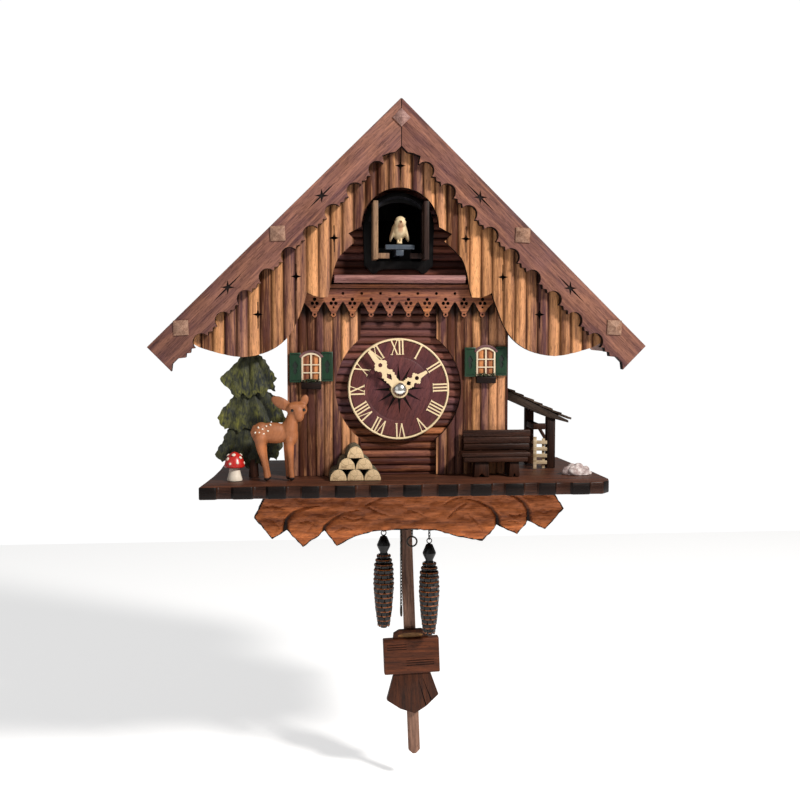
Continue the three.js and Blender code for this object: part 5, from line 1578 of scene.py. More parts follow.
class Fawn(bpy.types.Operator):
    """The fawn that stands in front of the tree"""
    bl_idname = "chalet.fawn"
    bl_label = "Fawn"

    SPOTS = ((-86.2, 35.4), (-88.6, 33.6), (-91.2, 34.6), (-90.6, 31.4), (-93.2, 31.4), (-88.0, 30.6),
             (-91.6, 28.4), (-85.2, 32.4), (-83.6, 36.2))

    @staticmethod
    def coat():
        c = colours()
        finish = Finish("Fawn coat")
        hair = finish.noise(finish.mapped((0, 18, 0), (1, 1, 4)), 0.9, 4.0)
        patch = finish.noise(finish.coords, 8, 2.0)
        brown = finish.mix((hair * 0.8 + patch * 0.6 - 0.4).clamp(), c.fawn, [v * 0.5 for v in c.fawn])
        height = finish.z - PLATFORM_TOP
        belly = height.between(25.5 * MM, 22 * MM) * height.between(14 * MM, 20 * MM) * 0.5
        brown = finish.mix(belly, brown, [min(1.0, v * 1.6) for v in c.fawn])
        hoof = height.between(3.0 * MM, 2.2 * MM)
        brown = finish.mix(hoof, brown, tone("14100e"))
        back = height.between(34 * MM, 39 * MM) * (finish.x < -75 * MM) * 0.35
        brown = finish.mix(back, brown, [v * 0.3 for v in c.fawn])
        finish.set(Base_Color=brown, Roughness=(hair * 0.3 + 0.42).clamp(), Normal=finish.bump(hair, 0.22))
        return finish.material

    def execute(self, context):
        low, high = span("deer")
        y = (low.y + high.y) / 2
        near, far = y - 2.5, y + 2.5
        parts = [
            ball("body", (-81.5, y, 30.8), (12.6, 4.4, 6.7), (0, 4, 0)),
            ball("rump", (-89.4, y, 30.2), (5.9, 4.5, 7.6)),
            ball("chest", (-71.8, y, 30.6), (5.6, 4.4, 8.4), (0, -12, 0)),
            limb("neck", [(-71.4, y, 33, 5.0), (-70.2, y, 38.4, 4.2), (-68.6, y + 0.4, 43.5, 3.8)]),
            ball("skull", (-67.0, y - 0.2, 45.9), (6.9, 4.4, 4.9), (0, 4, 0)),
            limb("muzzle", [(-66.2, y - 1.0, 44.4, 4.5), (-65.6, y - 2.2, 41.4, 3.3),
                            (-65.3, low.y + 2.6, 40.2, 2.4)]),
            limb("brow", [(-70.6, y - 2.4, 47.6, 1.9), (-62.6, y - 2.4, 47.9, 1.8)]),
            ball("ear", (-76.4, y + 0.6, 49.4), (7.8, 1.4, 3.7), (0, 30, -6)),
            ball("ear", (-62.2, y + 0.6, 51.0), (2.7, 1.1, 4.3), (0, 20, 0)),
            limb("tail", [(-93.6, y, 34.4, 1.6), (-95.2, y, 31.2, 1.3), (-94.8, y, 28.6, 0.8)])]
        for depth, shift in ((near, 0.0), (far, 0.9)):
            parts.append(limb("hind", [(-90.2 + shift, depth, 27.5, 4.0), (-89.6 + shift, depth, 20, 2.7),
                                       (-88.2 + shift, depth, 14, 1.85), (-86.8 + shift, depth, 7, 1.6),
                                       (-86.2 + shift, depth, low.z + 1.9, 1.9)]))
            parts.append(limb("fore", [(-71.8 - shift, depth, 25.5, 3.1), (-71.2 - shift * 2, depth, 16, 2.2),
                                       (-70.9 - shift * 2, depth, 8, 1.75),
                                       (-70.4 - shift * 2, depth, low.z + 1.9, 1.9)]))
        deer = blended(together("fawn", parts), 0.5, 5)
        feet = block("ground", (-110, low.y - 9, low.z - 9), (-50, high.y + 9, low.z))
        carve(deer, feet)
        coated(deer, self.coat())
        settle(deer, "case", "fawn_paint", "deer", smooth=60)
        black = moulded_plastic("Fawn eye black", tone("0c0907"), gloss=0.2)
        dots = [ball("eye", (-69.8, y - 4.1, 45.2), (1.05, 0.7, 1.0), segments=14, rings=8),
                ball("eye", (-62.4, y - 3.9, 45.6), (1.05, 0.7, 1.0), segments=14, rings=8),
                ball("nose", (-65.3, low.y + 0.8, 40.7), (1.25, 0.8, 0.85), segments=14, rings=8)]
        settle(coated(together("fawn_eyes_and_nose", dots), black), "case", "black_plastic", smooth=60)
        white = paint("Fawn spots white", tone("ece2d2"), tone("c9b9a4"), gloss=0.5, brush=0.7)
        spots = []
        for i, (x, z) in enumerate(self.SPOTS):
            drop = (abs(z - 31) / 7.6) ** 2 * 2.2
            out = y - 4.3 + drop + 0.25
            spots.append(ball("dot", (x, out, z), (0.62 + 0.1 * (i % 3), 0.55, 0.55), (0, 30 * i, 0), 12, 8))
        settle(coated(together("fawn_spots", spots), white), "case", "white_paint", smooth=60)
        return {'FINISHED'}


class Toadstool(bpy.types.Operator):
    """The red toadstool with white dots"""
    bl_idname = "chalet.toadstool"
    bl_label = "Toadstool"

    def execute(self, context):
        c = colours()
        low, high = span("mushroom")
        x, y = (low.x + high.x) / 2, (low.y + high.y) / 2
        stem_profile = [(0, 0), (4.7, 0), (4.9, 0.8), (4.2, 3), (3.5, 6), (3.2, 8.4), (3.1, 10), (0, 10)]
        stem = turned("toadstool_stem", stem_profile, (x, y, low.z), (0, 0, 1), 32)
        lean = paint("Toadstool stem white", tone("e9dfcf"), tone("c8b49c"), gloss=0.5, brush=1.3)
        settle(coated(stem, lean), "case", "white_paint")
        cap_profile = [(0, 7.9), (3.4, 8.0), (6.1, 8.3), (6.6, 9.0), (6.4, 11), (5.5, 13.8), (4.0, 16.2),
                       (2.1, 17.8), (0, 18.5)]
        cap = turned("toadstool_cap", cap_profile, (x, y, low.z), (0, 0, 1), 40)
        finish = Finish("Toadstool red")
        cloud = finish.noise(finish.coords, 3.0, 3.0)
        red = finish.mix((cloud * 1.2 - 0.3).clamp(), c.toadstool, [v * 0.45 for v in c.toadstool])
        finish.set(Base_Color=red, Roughness=(cloud * 0.25 + 0.2).clamp(), Normal=finish.bump(cloud, 0.15),
                   Coat_Weight=0.3, Coat_Roughness=0.2)
        modified(cap, 'SUBSURF', levels=1, render_levels=1)
        settle(coated(cap, finish.material), "case", "mushroom_paint", "mushroom", smooth=60)
        dots = []
        for angle, tilt, size in ((-95, 35, 1.3), (-40, 52, 1.1), (-140, 58, 1.15), (20, 40, 1.2),
                                  (90, 50, 1.3), (160, 42, 1.1), (-70, 74, 1.0), (-115, 78, 0.9),
                                  (-10, 78, 1.0), (60, 76, 0.9)):
            a, t = math.radians(angle), math.radians(tilt)
            reach = 6.35 * math.sin(t) ** 0.9
            height = 9.2 + 9.2 * math.cos(t) ** 0.95
            dots.append(ball("dot", (x + reach * math.cos(a), y + reach * math.sin(a), low.z + height),
                             (size, size, size * 0.42), (0, tilt, angle), 12, 8))
        settle(coated(together("toadstool_dots", dots), lean), "case", "white_paint", smooth=60)
        return {'FINISHED'}


class LogPile(bpy.types.Operator):
    """Six split logs, stacked three, two and one"""
    bl_idname = "chalet.log_pile"
    bl_label = "Log Pile"

    def execute(self, context):
        low, high = span("log_pile")
        middle = (low.x + high.x) / 2
        bark = Finish("Log bark")
        ridges = bark.noise(bark.mapped((90, 0, 0), (1, 1, 4)), 1.3, 4.0, 0.6)
        patch = bark.noise(bark.coords, 7, 3.0)
        shell = bark.ramp(ridges * 0.6 + patch * 0.4, (0.35, tone("2e2a20")), (0.52, tone("625c48")),
                          (0.66, tone("877f64")))
        bark.set(Base_Color=shell, Roughness=(ridges * 0.2 + 0.7).clamp(), Normal=bark.bump(ridges, 0.6))
        number = 0
        for row in range(3):
            for i in range(3 - row):
                number += 1
                x = middle + (i - (2 - row) / 2) * 10.9
                z = low.z + row * 7.2
                rise = 7.3 if row < 2 else high.z - z
                half = [(x + u * 5.4, z + v * rise) for u, v in arc(0, 0, 1, 0, 180, 22)]
                chance = random.Random(number)
                wobbly = [(px + chance.uniform(-0.12, 0.12),
                           pz + (chance.uniform(-0.12, 0.1) if 0 < k < 22 else 0))
                          for k, (px, pz) in enumerate(half)]
                log = sawn(f"split_log_{number}", wobbly, high.y, low.y + 0.25 * (number % 3))
                eased(log, 0.3, 2)
                end = Finish(f"Log end {number}")
                centred = end.mapped((0, 0, 0), (1, 1, 1), spot(x, 0, z + 0.6))
                parts = end.node("ShaderNodeSeparateXYZ", {}, {0: centred})
                axes = parts.socket.node.outputs
                across, up = Link(end, axes[0]), Link(end, axes[2])
                radius = (across * across + up * up) ** 0.5
                wander = end.noise(end.coords, 2.2, 3.0)
                phase = (radius + wander * 0.9 * MM) * 7200.0
                rings = end.node("ShaderNodeMath", {"operation": 'SINE'}, {0: phase})
                crack = end.cells(end.mapped((0, 0, 0), (1, 1, 1), spot(x, 0, z)), 3.6, 'DISTANCE_TO_EDGE')
                pale = end.mix((rings * 0.22 + 0.25).clamp(), tone("d9bd94"), tone("b08c5e"))
                pale = end.mix((crack < 0.03) * 0.5, pale, tone("6f5030"))
                pale = end.mix((wander > 0.58) * 0.25, pale, tone("c9a478"))
                end.set(Base_Color=pale, Roughness=(wander * 0.2 + 0.55).clamp(),
                        Normal=end.bump(rings, 0.06))
                coated(log, end.material, bark.material)
                repaint(log, 1, lambda centre, normal: abs(normal.y) < 0.7)
                settle(log, "case", "bark", *(["log_pile"] if number == 6 else []))
        return {'FINISHED'}


class Bench(bpy.types.Operator):
    """The plank bench against the wall"""
    bl_idname = "chalet.bench"
    bl_label = "Bench"

    def execute(self, context):
        low = span("bench")[0]
        y = -94.0
        wood = dark_wood("Bench wood", SIDEWAYS, lift=0.5, gloss=0.4)
        legs = dark_wood("Bench legs", UPRIGHT, lift=0.5, gloss=0.44)
        planks = [
            block("plank", (42, y - 3, 25.7), (87, y, 30)),
            block("plank", (42.3, y - 2.9, 21.2), (86.7, y - 0.1, 25.5)),
            block("plank", (42.6, y - 2.8, 16.9), (86.4, y - 0.2, 21.0)),
            block("batten", (43, y - 1.2, 16.0), (86, y - 0.1, 29.6)),
            block("plank", (39.5, -109.5, 13.6), (84.5, -102.1, 16.5)),
            block("plank", (39.9, -101.6, 13.6), (84.2, y, 16.4)),
            block("plank", (41, -108.8, 10.2), (83, -106.8, 13.6))]
        for plank in planks:
            eased(plank, 0.6, 2)
            coated(plank, wood)
        settle(together("bench_planks", planks), "case", "black_wood", "bench")
        feet = []
        for x0, x1 in ((48, 58), (71, 78)):
            middle = (x0 + x1) / 2
            shape = [(x0, low.z), (x0 + 2.6, low.z), (middle, 2.6), (x1 - 2.6, low.z), (x1, low.z),
                     (x1 - 0.6, 10.2), (x0 + 0.6, 10.2)]
            feet.append(coated(eased(sawn("foot", shape, y - 1.4, -106.6), 0.35, 2), legs))
            post = block("post", (middle - 1.7, y - 2.4, 16.3), (middle + 1.7, y - 0.6, 28.6))
            feet.append(coated(eased(post, 0.3, 2), legs))
        settle(together("bench_feet", feet), "case", "black_wood")
        return {'FINISHED'}


class Shed(bpy.types.Operator):
    """The lean-to with its shingled roof, posts, brace and hay rack"""
    bl_idname = "chalet.shed"
    bl_label = "Shed"

    def execute(self, context):
        s = sizes()
        low, high = span("shed_roof")
        weathered = timber("Weathered boards", tone("4a3a2e"), tone("211712"), tone("3a3130"),
                           (0, 116, 0), gloss=0.66)
        rafters = [(low.x, 50), (low.x, 55.4), (78, 53.6), (high.x, 33.4), (high.x, 31.8), (104, 36),
                   (92, 41.6)]
        deck = sawn("shed_roof_deck", rafters, high.y, low.y)
        settle(coated(eased(deck, 0.35, 2), weathered), "case", "bark", "shed_roof")
        width = mm(s.shingle)
        depth = high.y - low.y
        across = max(2, round(depth / width))
        courses = 7
        start, end = Vector((high.x + 0.2, 34.0)), Vector((low.x + 0.8, 56.0))
        run = end - start
        tilt = math.degrees(math.atan2(run.y, -run.x))
        model = block("shingle", (-4.9, -width * 0.47, -130), (4.9, width * 0.47, -129))
        edit(model)
        done_editing()
        for part in model.data.polygons:
            part.select = part.normal.x > 0.9
        alone(model)
        bpy.ops.object.mode_set(mode='EDIT')
        bpy.ops.transform.resize(value=(1, 0.86, 1.5))
        done_editing()
        eased(model, 0.22, 1)
        origin = spot(0, 0, -129.5)
        chance = random.Random(3)
        shingles = []
        for course in range(courses):
            for column in range(across):
                t = (course + 0.42) / courses
                along = start + run * t
                offset = 0.5 if course % 2 else 0.0
                y = low.y + (column + 0.5 + offset * 0.6) * depth / across + chance.uniform(-0.25, 0.25)
                if not low.y + width * 0.45 < y < high.y - width * 0.4:
                    continue
                place = spot(along.x + chance.uniform(-0.3, 0.2), y, along.y + 0.7 + chance.uniform(0, 0.25))
                lean = Matrix.Rotation(math.radians(tilt - 7), 4, 'Y')
                skew = Matrix.Rotation(math.radians(chance.uniform(-2.5, 2.5)), 4, 'Z')
                matrix = Matrix.Translation(place) @ lean @ skew @ Matrix.Translation(-origin)
                shingles.append(copied(model, "shingle", matrix))
        bpy.data.objects.remove(model)
        shakes = timber("Shed shingles", tone("5c4a3c"), tone("261a14"), tone("4a3e38"),
                        (0, 116, 0), gloss=0.7, blotch=5)
        settle(coated(together("shed_shingles", shingles), shakes), "case", "bark")
        dark = dark_wood("Shed posts", UPRIGHT, lift=0.5, gloss=0.48)
        low, high = span("shed_frame")
        posts = [block("post", (105, -66, low.z), (111, -60, 35.6)),
                 block("post", (95, -42, low.z), (101, -36, 40.2)),
                 block("rail", (95.5, -65, 27), (107, -61, 31)),
                 block("sill", (95.5, -64.5, 27), (100.5, -41, 31))]
        brace = sawn("brace", [(96.2, 28), (99, 28), (107, 14.5), (107, 18.6), (100.6, 29)], -61.4, -64.6)
        for post in posts + [brace]:
            coated(eased(post, 0.5, 2), dark)
        settle(together("shed_posts", posts + [brace]), "case", "black_wood", "shed_frame")
        low, high = span("shed_rack")
        pale = timber("Rack wood", tone("cbb798"), tone("8d7352"), tone("b5a083"), SIDEWAYS, gloss=0.55,
                      grain=0.6)
        slats = []
        for z in (3.4, 8.0, 12.6, 17.2):
            slat = [(low.x, z + 0.3), (high.x, z), (high.x, z + 2.4), (low.x, z + 2.7)]
            slats.append(sawn("slat", slat, -67.45, -69.2))
        slats.append(block("post", (low.x + 0.4, -70.6, low.z), (low.x + 2.8, -69.25, high.z)))
        slats.append(block("post", (high.x - 3.2, -67.4, low.z), (high.x - 1.2, -66.4, high.z - 1.5)))
        for slat in slats:
            coated(eased(slat, 0.3, 2), pale)
        settle(together("shed_rack_slats", slats), "case", "raw_wood", "shed_rack")
        return {'FINISHED'}


class Stone(bpy.types.Operator):
    """The pale rock on the right of the platform"""
    bl_idname = "chalet.stone"
    bl_label = "Stone"

    def execute(self, context):
        low, high = span("stone")
        x, y = (low.x + high.x) / 2, (low.y + high.y) / 2
        rock = ball("stone_rough", (x, y, low.z), (10.6, 7.6, 7.4), segments=48, rings=32)
        for vertex in rock.data.vertices:
            out = vertex.co - spot(x, y, low.z)
            facet = noise.voronoi(vertex.co * 170)[0]
            push = 0.84 + 0.34 * (facet[1] - facet[0]) + 0.1 * noise.noise(vertex.co * 320)
            vertex.co = spot(x, y, low.z) + out * min(1.0, push)
        ground = block("ground", (low.x - 9, low.y - 9, low.z - 20), (high.x + 9, high.y + 9, low.z))
        finish = Finish("Pale rock")
        lumps = finish.noise(finish.coords, 3.4, 6.0)
        veins = finish.noise(finish.coords, 7.5, 3.0, 1.4)
        shades = finish.ramp(lumps, (0.34, tone("8f7b79")), (0.52, tone("c2b3af")), (0.66, tone("e0d7d3")))
        shades = finish.mix((abs(veins - 0.5) < 0.018) * 0.45, shades, tone("8f6f68"))
        finish.set(Base_Color=shades, Roughness=(lumps * 0.3 + 0.55).clamp(), Normal=finish.bump(lumps, 0.5))
        coated(rock, finish.material)
        carve(rock, coated(ground, finish.material))
        settle(rock, "case", "stone", "stone", smooth=30)
        return {'FINISHED'}


# ------------------------------------------------------------------ works, chains, cones and pendulum

class Works(bpy.types.Operator):
    """The back board, its hatch with hinges, and what is inside the case"""
    bl_idname = "chalet.works"
    bl_label = "Back and Works"

    def execute(self, context):
        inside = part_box("back_board")[0].y + 0.3 * MM
        # The inside face of the back board is painted near-black: painted shade inside the case.
        dress("back_board", dark_wood("Back board", UPRIGHT, lift=1.35, gloss=0.62, blotch=40,
                                      shade=lambda finish: (finish.y < inside) * 0.96))
        low, high = span("back_board")
        # A black block in front of the keyhole, inside the case: a dark piece put there as painted shade, so
        # that no light shows through the keyhole.
        shade_block = block("keyhole_shade_block", (-8, low.y - 2.2, 174), (8, low.y - 0.05, 201))
        settle(coated(eased(shade_block, 0.5, 2), moulded_plastic("Keyhole shade black", tone("0b0b0b"), gloss=0.6)), "case",
               "black_plastic")
        dress("back_hatch", dark_wood("Hatch board", UPRIGHT, lift=1.5, gloss=0.6, blotch=28))
        low, high = span("back_hatch")
        brass = metal("Hinge brass", tone("b7914d"), gloss=0.34, tarnish=0.7)
        for i, z in enumerate((low.z + 14, high.z - 22)):
            knuckles = []
            for k in range(3):
                foot = z + k * 2.7
                knuckle = rod("knuckle", (low.x - 0.2, -0.7, foot), (low.x - 0.2, -0.7, foot + 2.6), 0.65)
                knuckles.append(eased(knuckle, 0.12, 1))
            settle(coated(together(f"hatch_hinge_{i + 1}", knuckles), brass), "hatch", "brass")
        case = moulded_plastic("Movement black", tone("1b1b1d"), gloss=0.42)
        dress("movement_case", case)
        cell = Finish("Battery jacket")
        haze = cell.noise(cell.coords, 6, 3.0)
        middle = (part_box("battery")[0].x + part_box("battery")[1].x) / 2
        band = (cell.x > middle + 12 * MM) * 1.0
        cell.set(Base_Color=cell.mix(band, cell.mix(haze * 0.4, tone("2f3236"), tone("17191c")),
                                     tone("b98746")),
                 Metallic=0.7, Roughness=(haze * 0.2 + 0.22).clamp(), Normal=cell.bump(haze, 0.04))
        dress("battery", cell.material)
        dress("speaker", moulded_plastic("Speaker cone black", tone("202022"), gloss=0.6))
        dress("pendulum_hanger", metal("Hanger brass", tone("b28c4c"), gloss=0.34))
        for word in ("left", "right"):
            dress(f"chain_wheel_{word}", metal(f"Wheel brass {word}", tone("b5924f"), gloss=0.3))
        return {'FINISHED'}


class Chains(bpy.types.Operator):
    """Linked chains with their pull rings and hooks"""
    bl_idname = "chalet.chains"
    bl_label = "Chains"

    def one_link(self):
        s = sizes()
        long, wire = mm(s.link), mm(s.wire)
        half_width = 1.02
        link = hoop("link", (0, 0, 0), half_width - wire / 2, wire / 2, FACING, 12, 6)
        straight = (long - 2 * half_width) / 2 * MM
        for vertex in link.data.vertices:
            vertex.co.z += straight if vertex.co.z > 0 else -straight
        return link, long - 2 * wire

    def run(self, name, body, x, y, top, bottom, gunmetal, extra=(), node=None):
        link, pitch = self.one_link()
        count = max(1, int((top - bottom) / pitch))
        pitch = (top - bottom) / count
        links = []
        for i in range(count):
            matrix = Matrix.Translation(spot(x, y, top - (i + 0.5) * pitch)) @ Matrix.Rotation(
                math.radians(45 if i % 2 else -45), 4, 'Z')
            links.append(copied(link, "link", matrix))
        bpy.data.objects.remove(link)
        piece = coated(together(name, links + list(extra)), gunmetal)
        settle(piece, body, "chain_steel", *([node] if node else []), smooth=60)

    def execute(self, context):
        gunmetal = metal("Chain gunmetal", tone("3f3a35"), gloss=0.34, tarnish=0.6, wear=4.0)
        for word in ("left", "right"):
            low, high = span(f"chain_{word}_weight")
            x, y = (low.x + high.x) / 2, (low.y + high.y) / 2
            hook = hoop("hook", spot(x, y, low.z + 1.2), 1.7, 0.36, FACING, 20, 8)
            self.run(f"chain_{word}_weight_links", f"{word}_weight", x, y, high.z, low.z + 2.4, gunmetal,
                     [hook], f"chain_{word}_weight")
            low, high = span(f"chain_{word}_pull")
            x, y = (low.x + high.x) / 2, (low.y + high.y) / 2
            radius, wire = 3.4, 0.6
            centre = spot(x, y, low.z + radius + wire)
            edge_on = high.x - low.x < 5
            turn = (math.pi / 2, 0, math.pi / 2) if edge_on else FACING
            ring = hoop("ring", centre, radius, wire, turn, 36, 10)
            self.run(f"chain_{word}_pull_links", f"{word}_pull", x, y, high.z, low.z + 2 * radius + wire,
                     gunmetal, [ring], f"chain_{word}_pull")
        return {'FINISHED'}


class Cones(bpy.types.Operator):
    """Two fir-cone weights covered in overlapping scales"""
    bl_idname = "chalet.cones"
    bl_label = "Cone Weights"

    PROFILE = [(0, 0), (2.2, 0.5), (3.4, 3.5), (4.9, 14), (6.0, 29), (5.5, 42), (3.6, 50), (2.7, 53.4),
               (2.6, 54), (4.6, 58.2), (4.7, 59.2), (2.9, 63.6), (2.3, 65), (0, 66)]

    @staticmethod
    def lacquer(name, tip, strength):
        """Black lacquer, with copper rubbed through by `strength` on the scales' tips.

        The lowest tip is at the height `tip`, in metres."""
        finish = Finish(name)
        cloud = finish.noise(finish.coords, 2.2, 4.0)
        fine = finish.noise(finish.mapped((0, 0, 0), (1, 1, 3)), 0.8, 3.0)
        row = (finish.z - tip) / (3.3 * MM)
        lip = (row.floor() + 0.3 - row).between(0, 0.2) * (cloud * 1.8 - 0.35).clamp() * strength
        finish.set(Base_Color=finish.mix(lip, tone("080605"), tone("a45c2a")),
                   Roughness=(cloud * 0.25 + 0.12).clamp(), Normal=finish.bump(fine, 0.08),
                   Specular_IOR_Level=0.35)
        return finish.material

    def radius(self, z):
        for (r0, z0), (r1, z1) in zip(self.PROFILE, self.PROFILE[1:]):
            if z0 <= z <= z1:
                return r0 + (r1 - r0) * (z - z0) / max(z1 - z0, 0.01)
        return 0.0

    def one_scale(self):
        """A pointed scale lying along +Z with its tip down and its back to the cone."""
        shape = [(-0.5, 0.55), (0.5, 0.55), (0.52, 0.05), (0.3, -0.4), (0, -0.62), (-0.3, -0.4),
                 (-0.52, 0.05)]
        scale = swept("scale", [Vector((x * MM, 0, z * MM)) for x, z in shape], Vector((0, -0.22 * MM, 0)))
        for vertex in scale.data.vertices:
            if vertex.co.y < -0.1 * MM:
                vertex.co.x *= 0.72
                vertex.co.z = vertex.co.z * 0.8 - 0.1 * MM
                vertex.co.y -= 0.12 * MM * (1 - abs(vertex.co.x) / (0.5 * MM))
        return scale

    def execute(self, context):
        s = sizes()
        black = self.lacquer("Cone black", 0, 0.0)
        wide = mm(s.cone_scale)
        for word in ("left", "right"):
            low, high = span(f"cone_{word}")
            x, y = (low.x + high.x) / 2, (low.y + high.y) / 2
            core = turned(f"cone_{word}_core", self.PROFILE, (x, y, low.z), (0, 0, 1), 40)
            settle(coated(core, black), f"{word}_weight", "cone_paint", f"cone_{word}", smooth=50)
            model = self.one_scale()
            scales = []
            rows = 15
            for row in range(rows):
                z = 4.0 + row * 3.3
                radius = self.radius(z)
                girth = math.tau * radius
                size = wide * (0.55 + 0.45 * radius / 6.0)
                count = max(5, round(girth / (size * 0.86)))
                slope = math.atan2(self.radius(z + 2) - self.radius(z - 2), 4)
                for i in range(count):
                    angle = math.tau * (i + 0.5 * (row % 2)) / count
                    matrix = (Matrix.Translation(spot(x, y, low.z + z)) @ Matrix.Rotation(angle, 4, 'Z')
                              @ Matrix.Translation(Vector((0, -radius * MM * 0.985, 0)))
                              @ Matrix.Rotation(math.radians(13) - slope, 4, 'X')
                              @ Matrix.Diagonal((size, size * 0.9, size * 1.12, 1)))
                    scales.append(copied(model, "scale", matrix))
            bpy.data.objects.remove(model)
            copper = self.lacquer(f"Cone copper {word}", (low.z + 4.0 - wide * 0.66) * MM, 1.0)
            settle(coated(together(f"cone_{word}_scales", scales), copper),
                   f"{word}_weight", "cone_paint", smooth=25)
        return {'FINISHED'}


class Pendulum(bpy.types.Operator):
    """The wooden rod and the bob with its cap, plate and skirt"""
    bl_idname = "chalet.pendulum"
    bl_label = "Pendulum"

    TILT = 2.15
    PIVOT = (5.3, -30.0, 104.0)

    def placed(self, points):
        """Outline points given from the pivot, with the pendulum's lean put on."""
        return swung(points, -self.TILT, self.PIVOT[0], self.PIVOT[2])

    def execute(self, context):
        y = self.PIVOT[1]
        lean = (0, self.TILT * -1, 0)
        mauve = timber("Pendulum wood", tone("96705c"), tone("4c332a"), tone("73594f"), lean, gloss=0.5)
        half, reach, tip = 4.2, 316.0, 3.0
        corners = [(-half, 5), (half, 5), (half, -reach + tip), (half - tip, -reach), (tip - half, -reach),
                   (-half, -reach + tip)]
        strip = sawn("pendulum_rod_strip", self.placed(corners), y + 1.5, y - 1.5)
        eased(strip, 0.45, 2)
        coated(strip, mauve, cut_edge())
        x, z = self.PIVOT[0], self.PIVOT[2]
        carve(strip, coated(rod("bore", (x, y + 5, z), (x, y - 5, z), 1.4, sides=24), cut_edge()))
        settle(strip, "pendulum", "walnut", "pendulum_rod")
        back = y - 1.8
        plate_wood = timber("Bob plate wood", tone("5c2f19"), tone("2a140a"), tone("452214"), SIDEWAYS,
                            gloss=0.4)
        skirt_wood = timber("Bob skirt wood", tone("4c2714"), tone("231109"), tone("3a1d12"), lean,
                            gloss=0.42)
        cap = sawn("cap", self.placed([(-12.8, -230), (-12.2, -225.4), (-8, -223.2), (8, -223.2),
                                       (12.2, -225.4), (12.8, -230)]), back, back - 4.5)
        coated(eased(cap, 0.6, 2), skirt_wood, cut_edge())
        oval = [(9.2 * math.cos(a), -227 + 1.7 * math.sin(a)) for a in (math.tau * i / 28 for i in range(28))]
        shine = timber("Bob oval", tone("8a6238"), tone("543520"), tone("70502f"), SIDEWAYS, gloss=0.3)
        cut(cap, self.placed(oval), back - 4.5 + 0.6, back - 7, shine)
        plate = sawn("plate", self.placed([(-20, -229), (20, -229), (20, -254.5), (-20, -254.5)]), back,
                     back - 7)
        coated(eased(plate, 0.9, 3), plate_wood, cut_edge())
        for left, right, z in ((-17.5, -3.5, -232.8), (-4.0, 16.0, -244.6)):
            for shift in (0, 1.7, 3.4):
                line = [(left, z - shift), (right, z - shift), (right, z - shift - 0.5),
                        (left, z - shift - 0.5)]
                cut(plate, self.placed(line), back - 7 + 0.6, back - 9)
        skirt = self.skirt(back, skirt_wood)
        settle(together("pendulum_bob_carved", [cap, plate, skirt]), "pendulum", "walnut", "pendulum_bob")
        return {'FINISHED'}

    def skirt(self, back, wood):
        """The flared lower part, a flat board with two grooves for the folds of a bell's skirt."""
        outline = [(-13, -254), (13, -254), (18.6, -271.5), (9.5, -279.6),
                   (1, -284.5), (-9.5, -280.4), (-19, -273.5)]
        skirt = sawn("skirt", self.placed(outline), back, back - 5)
        coated(eased(skirt, 0.5, 2), wood, cut_edge())
        folds = [((4.5, -260), (9.4, -280.4)), ((7.5, -259), (13.6, -276.6))]
        for (x0, z0), (x1, z1) in folds:
            groove = [(x0 - 0.1, z0), (x0 + 0.1, z0), (x1 + 0.5, z1), (x1 - 0.5, z1)]
            cut(skirt, self.placed(groove), back - 5 + 0.8, back - 7)
        return skirt


# ------------------------------------------------------------------ stage

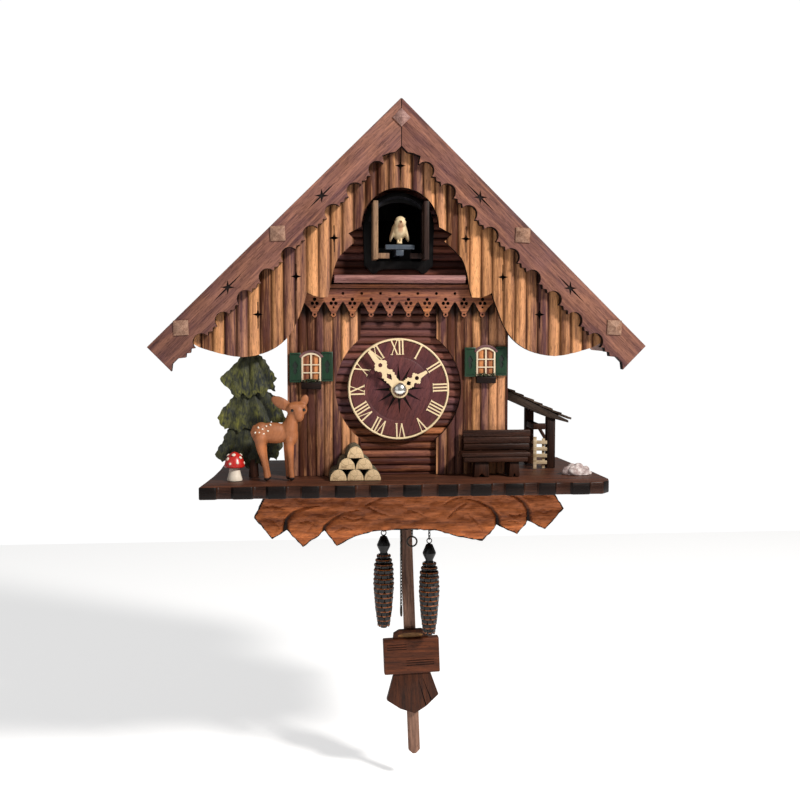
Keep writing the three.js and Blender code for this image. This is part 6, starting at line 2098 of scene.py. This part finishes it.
class Stage(bpy.types.Operator):
    """A pale floor, soft lights and the camera"""
    bl_idname = "chalet.stage"
    bl_label = "Floor, Lights and Camera"

    AZIMUTH = -5.5
    ELEVATION = 4.0
    DISTANCE = 0.75
    AIM = (0.0, -0.100, 0.0505)
    LENS = 51.92
    SOFT_LIGHT = 0.24

    def light(self, name, place, aim, size, power, warmth):
        data = bpy.data.lights.new(name, 'AREA')
        data.shape = 'RECTANGLE'
        data.size, data.size_y = size
        data.energy = power
        data.color = warmth
        lamp = bpy.data.objects.new(name, data)
        bpy.context.scene.collection.objects.link(lamp)
        lamp.location = place
        lamp.rotation_euler = (Vector(place) - Vector(aim)).to_track_quat('Z', 'Y').to_euler()

    def execute(self, context):
        scene = bpy.context.scene
        floor_height = CAD_BOX[0].z - 0.02
        bpy.ops.mesh.primitive_plane_add(size=1.8, location=(0, 0, floor_height))
        floor = fresh("studio_floor")
        finish = Finish("Pale floor")
        cloud = finish.noise(finish.coords, 900, 2.0)
        finish.set(Base_Color=finish.mix(cloud * 0.3, tone("fbfbfb"), tone("f5f5f5")),
                   Roughness=(cloud * 0.1 + 0.8).clamp(), Emission_Color=(1.0, 1.0, 1.0),
                   Emission_Strength=0.5)
        coated(floor, finish.material)

        world = bpy.data.worlds.new("Studio")
        scene.world = world
        world.use_nodes = True
        nodes, links = world.node_tree.nodes, world.node_tree.links
        sky = nodes["Background"]
        sky.inputs["Color"].default_value = (1.0, 1.0, 1.0, 1.0)
        seen = nodes.new("ShaderNodeLightPath")
        strength = nodes.new("ShaderNodeMapRange")
        links.new(seen.outputs["Is Camera Ray"], strength.inputs["Value"])
        strength.inputs["To Min"].default_value = self.SOFT_LIGHT
        strength.inputs["To Max"].default_value = 1.02
        links.new(strength.outputs["Result"], sky.inputs["Strength"])

        self.light("key", (0.85, -1.1, 0.75), (0, -0.1, -0.1), (0.2, 0.2), 29, (1.0, 0.97, 0.93))
        self.light("fill", (-1.1, -1.2, 0.3), (0, -0.1, -0.1), (1.2, 1.2), 2.6, (0.95, 0.97, 1.0))

        target = Vector((self.AIM[0], self.AIM[1], PLATFORM_TOP + self.AIM[2]))
        azimuth, elevation = math.radians(self.AZIMUTH), math.radians(self.ELEVATION)
        back = Vector((math.sin(azimuth) * math.cos(elevation), -math.cos(azimuth) * math.cos(elevation),
                       math.sin(elevation)))
        data = bpy.data.cameras.new("camera")
        data.lens = self.LENS
        data.sensor_width = 36
        data.clip_start = 0.01
        camera = bpy.data.objects.new("camera", data)
        scene.collection.objects.link(camera)
        camera.location = target + back * self.DISTANCE
        camera.rotation_euler = back.to_track_quat('Z', 'Y').to_euler()
        scene.camera = camera
        scene.view_settings.view_transform = 'Standard'
        return {'FINISHED'}


MAKERS = (Stage, Bargeboards, RoofBoards, GablePanel, FrontWall, Trim, Platform, CarvedBase, Dial, Hands,
          Doorway, Cuckoo, Windows, FirTree, Fawn, Toadstool, LogPile, Bench, Shed, Stone, Works, Chains,
          Cones, Pendulum)


class ChaletPanel(bpy.types.Panel):
    """Lists the steps that dress the clock, and the sizes and colours they use"""
    bl_idname = "VIEW3D_PT_chalet_clock"
    bl_label = "Chalet Cuckoo Clock"
    bl_space_type = 'VIEW_3D'
    bl_region_type = 'UI'
    bl_category = "Cuckoo Clock"

    def draw(self, context):
        steps = self.layout.column(align=True)
        for maker in MAKERS:
            steps.operator(maker.bl_idname)
        for group in (context.scene.chalet_sizes, context.scene.chalet_colours):
            box = self.layout.box().column(align=True)
            for key in group.bl_rna.properties.keys():
                if key not in ("rna_type", "name"):
                    box.prop(group, key)


CLASSES = (ChaletSizes, ChaletColours, *MAKERS, ChaletPanel)


def register():
    for kind in CLASSES:
        bpy.utils.register_class(kind)
    bpy.types.Scene.chalet_sizes = PointerProperty(type=ChaletSizes)
    bpy.types.Scene.chalet_colours = PointerProperty(type=ChaletColours)


def unregister():
    del bpy.types.Scene.chalet_colours
    del bpy.types.Scene.chalet_sizes
    for kind in reversed(CLASSES):
        bpy.utils.unregister_class(kind)


def main():
    register()
    for maker in MAKERS:
        group, name = maker.bl_idname.split(".")
        getattr(getattr(bpy.ops, group), name)()


if __name__ == "__main__":
    main()
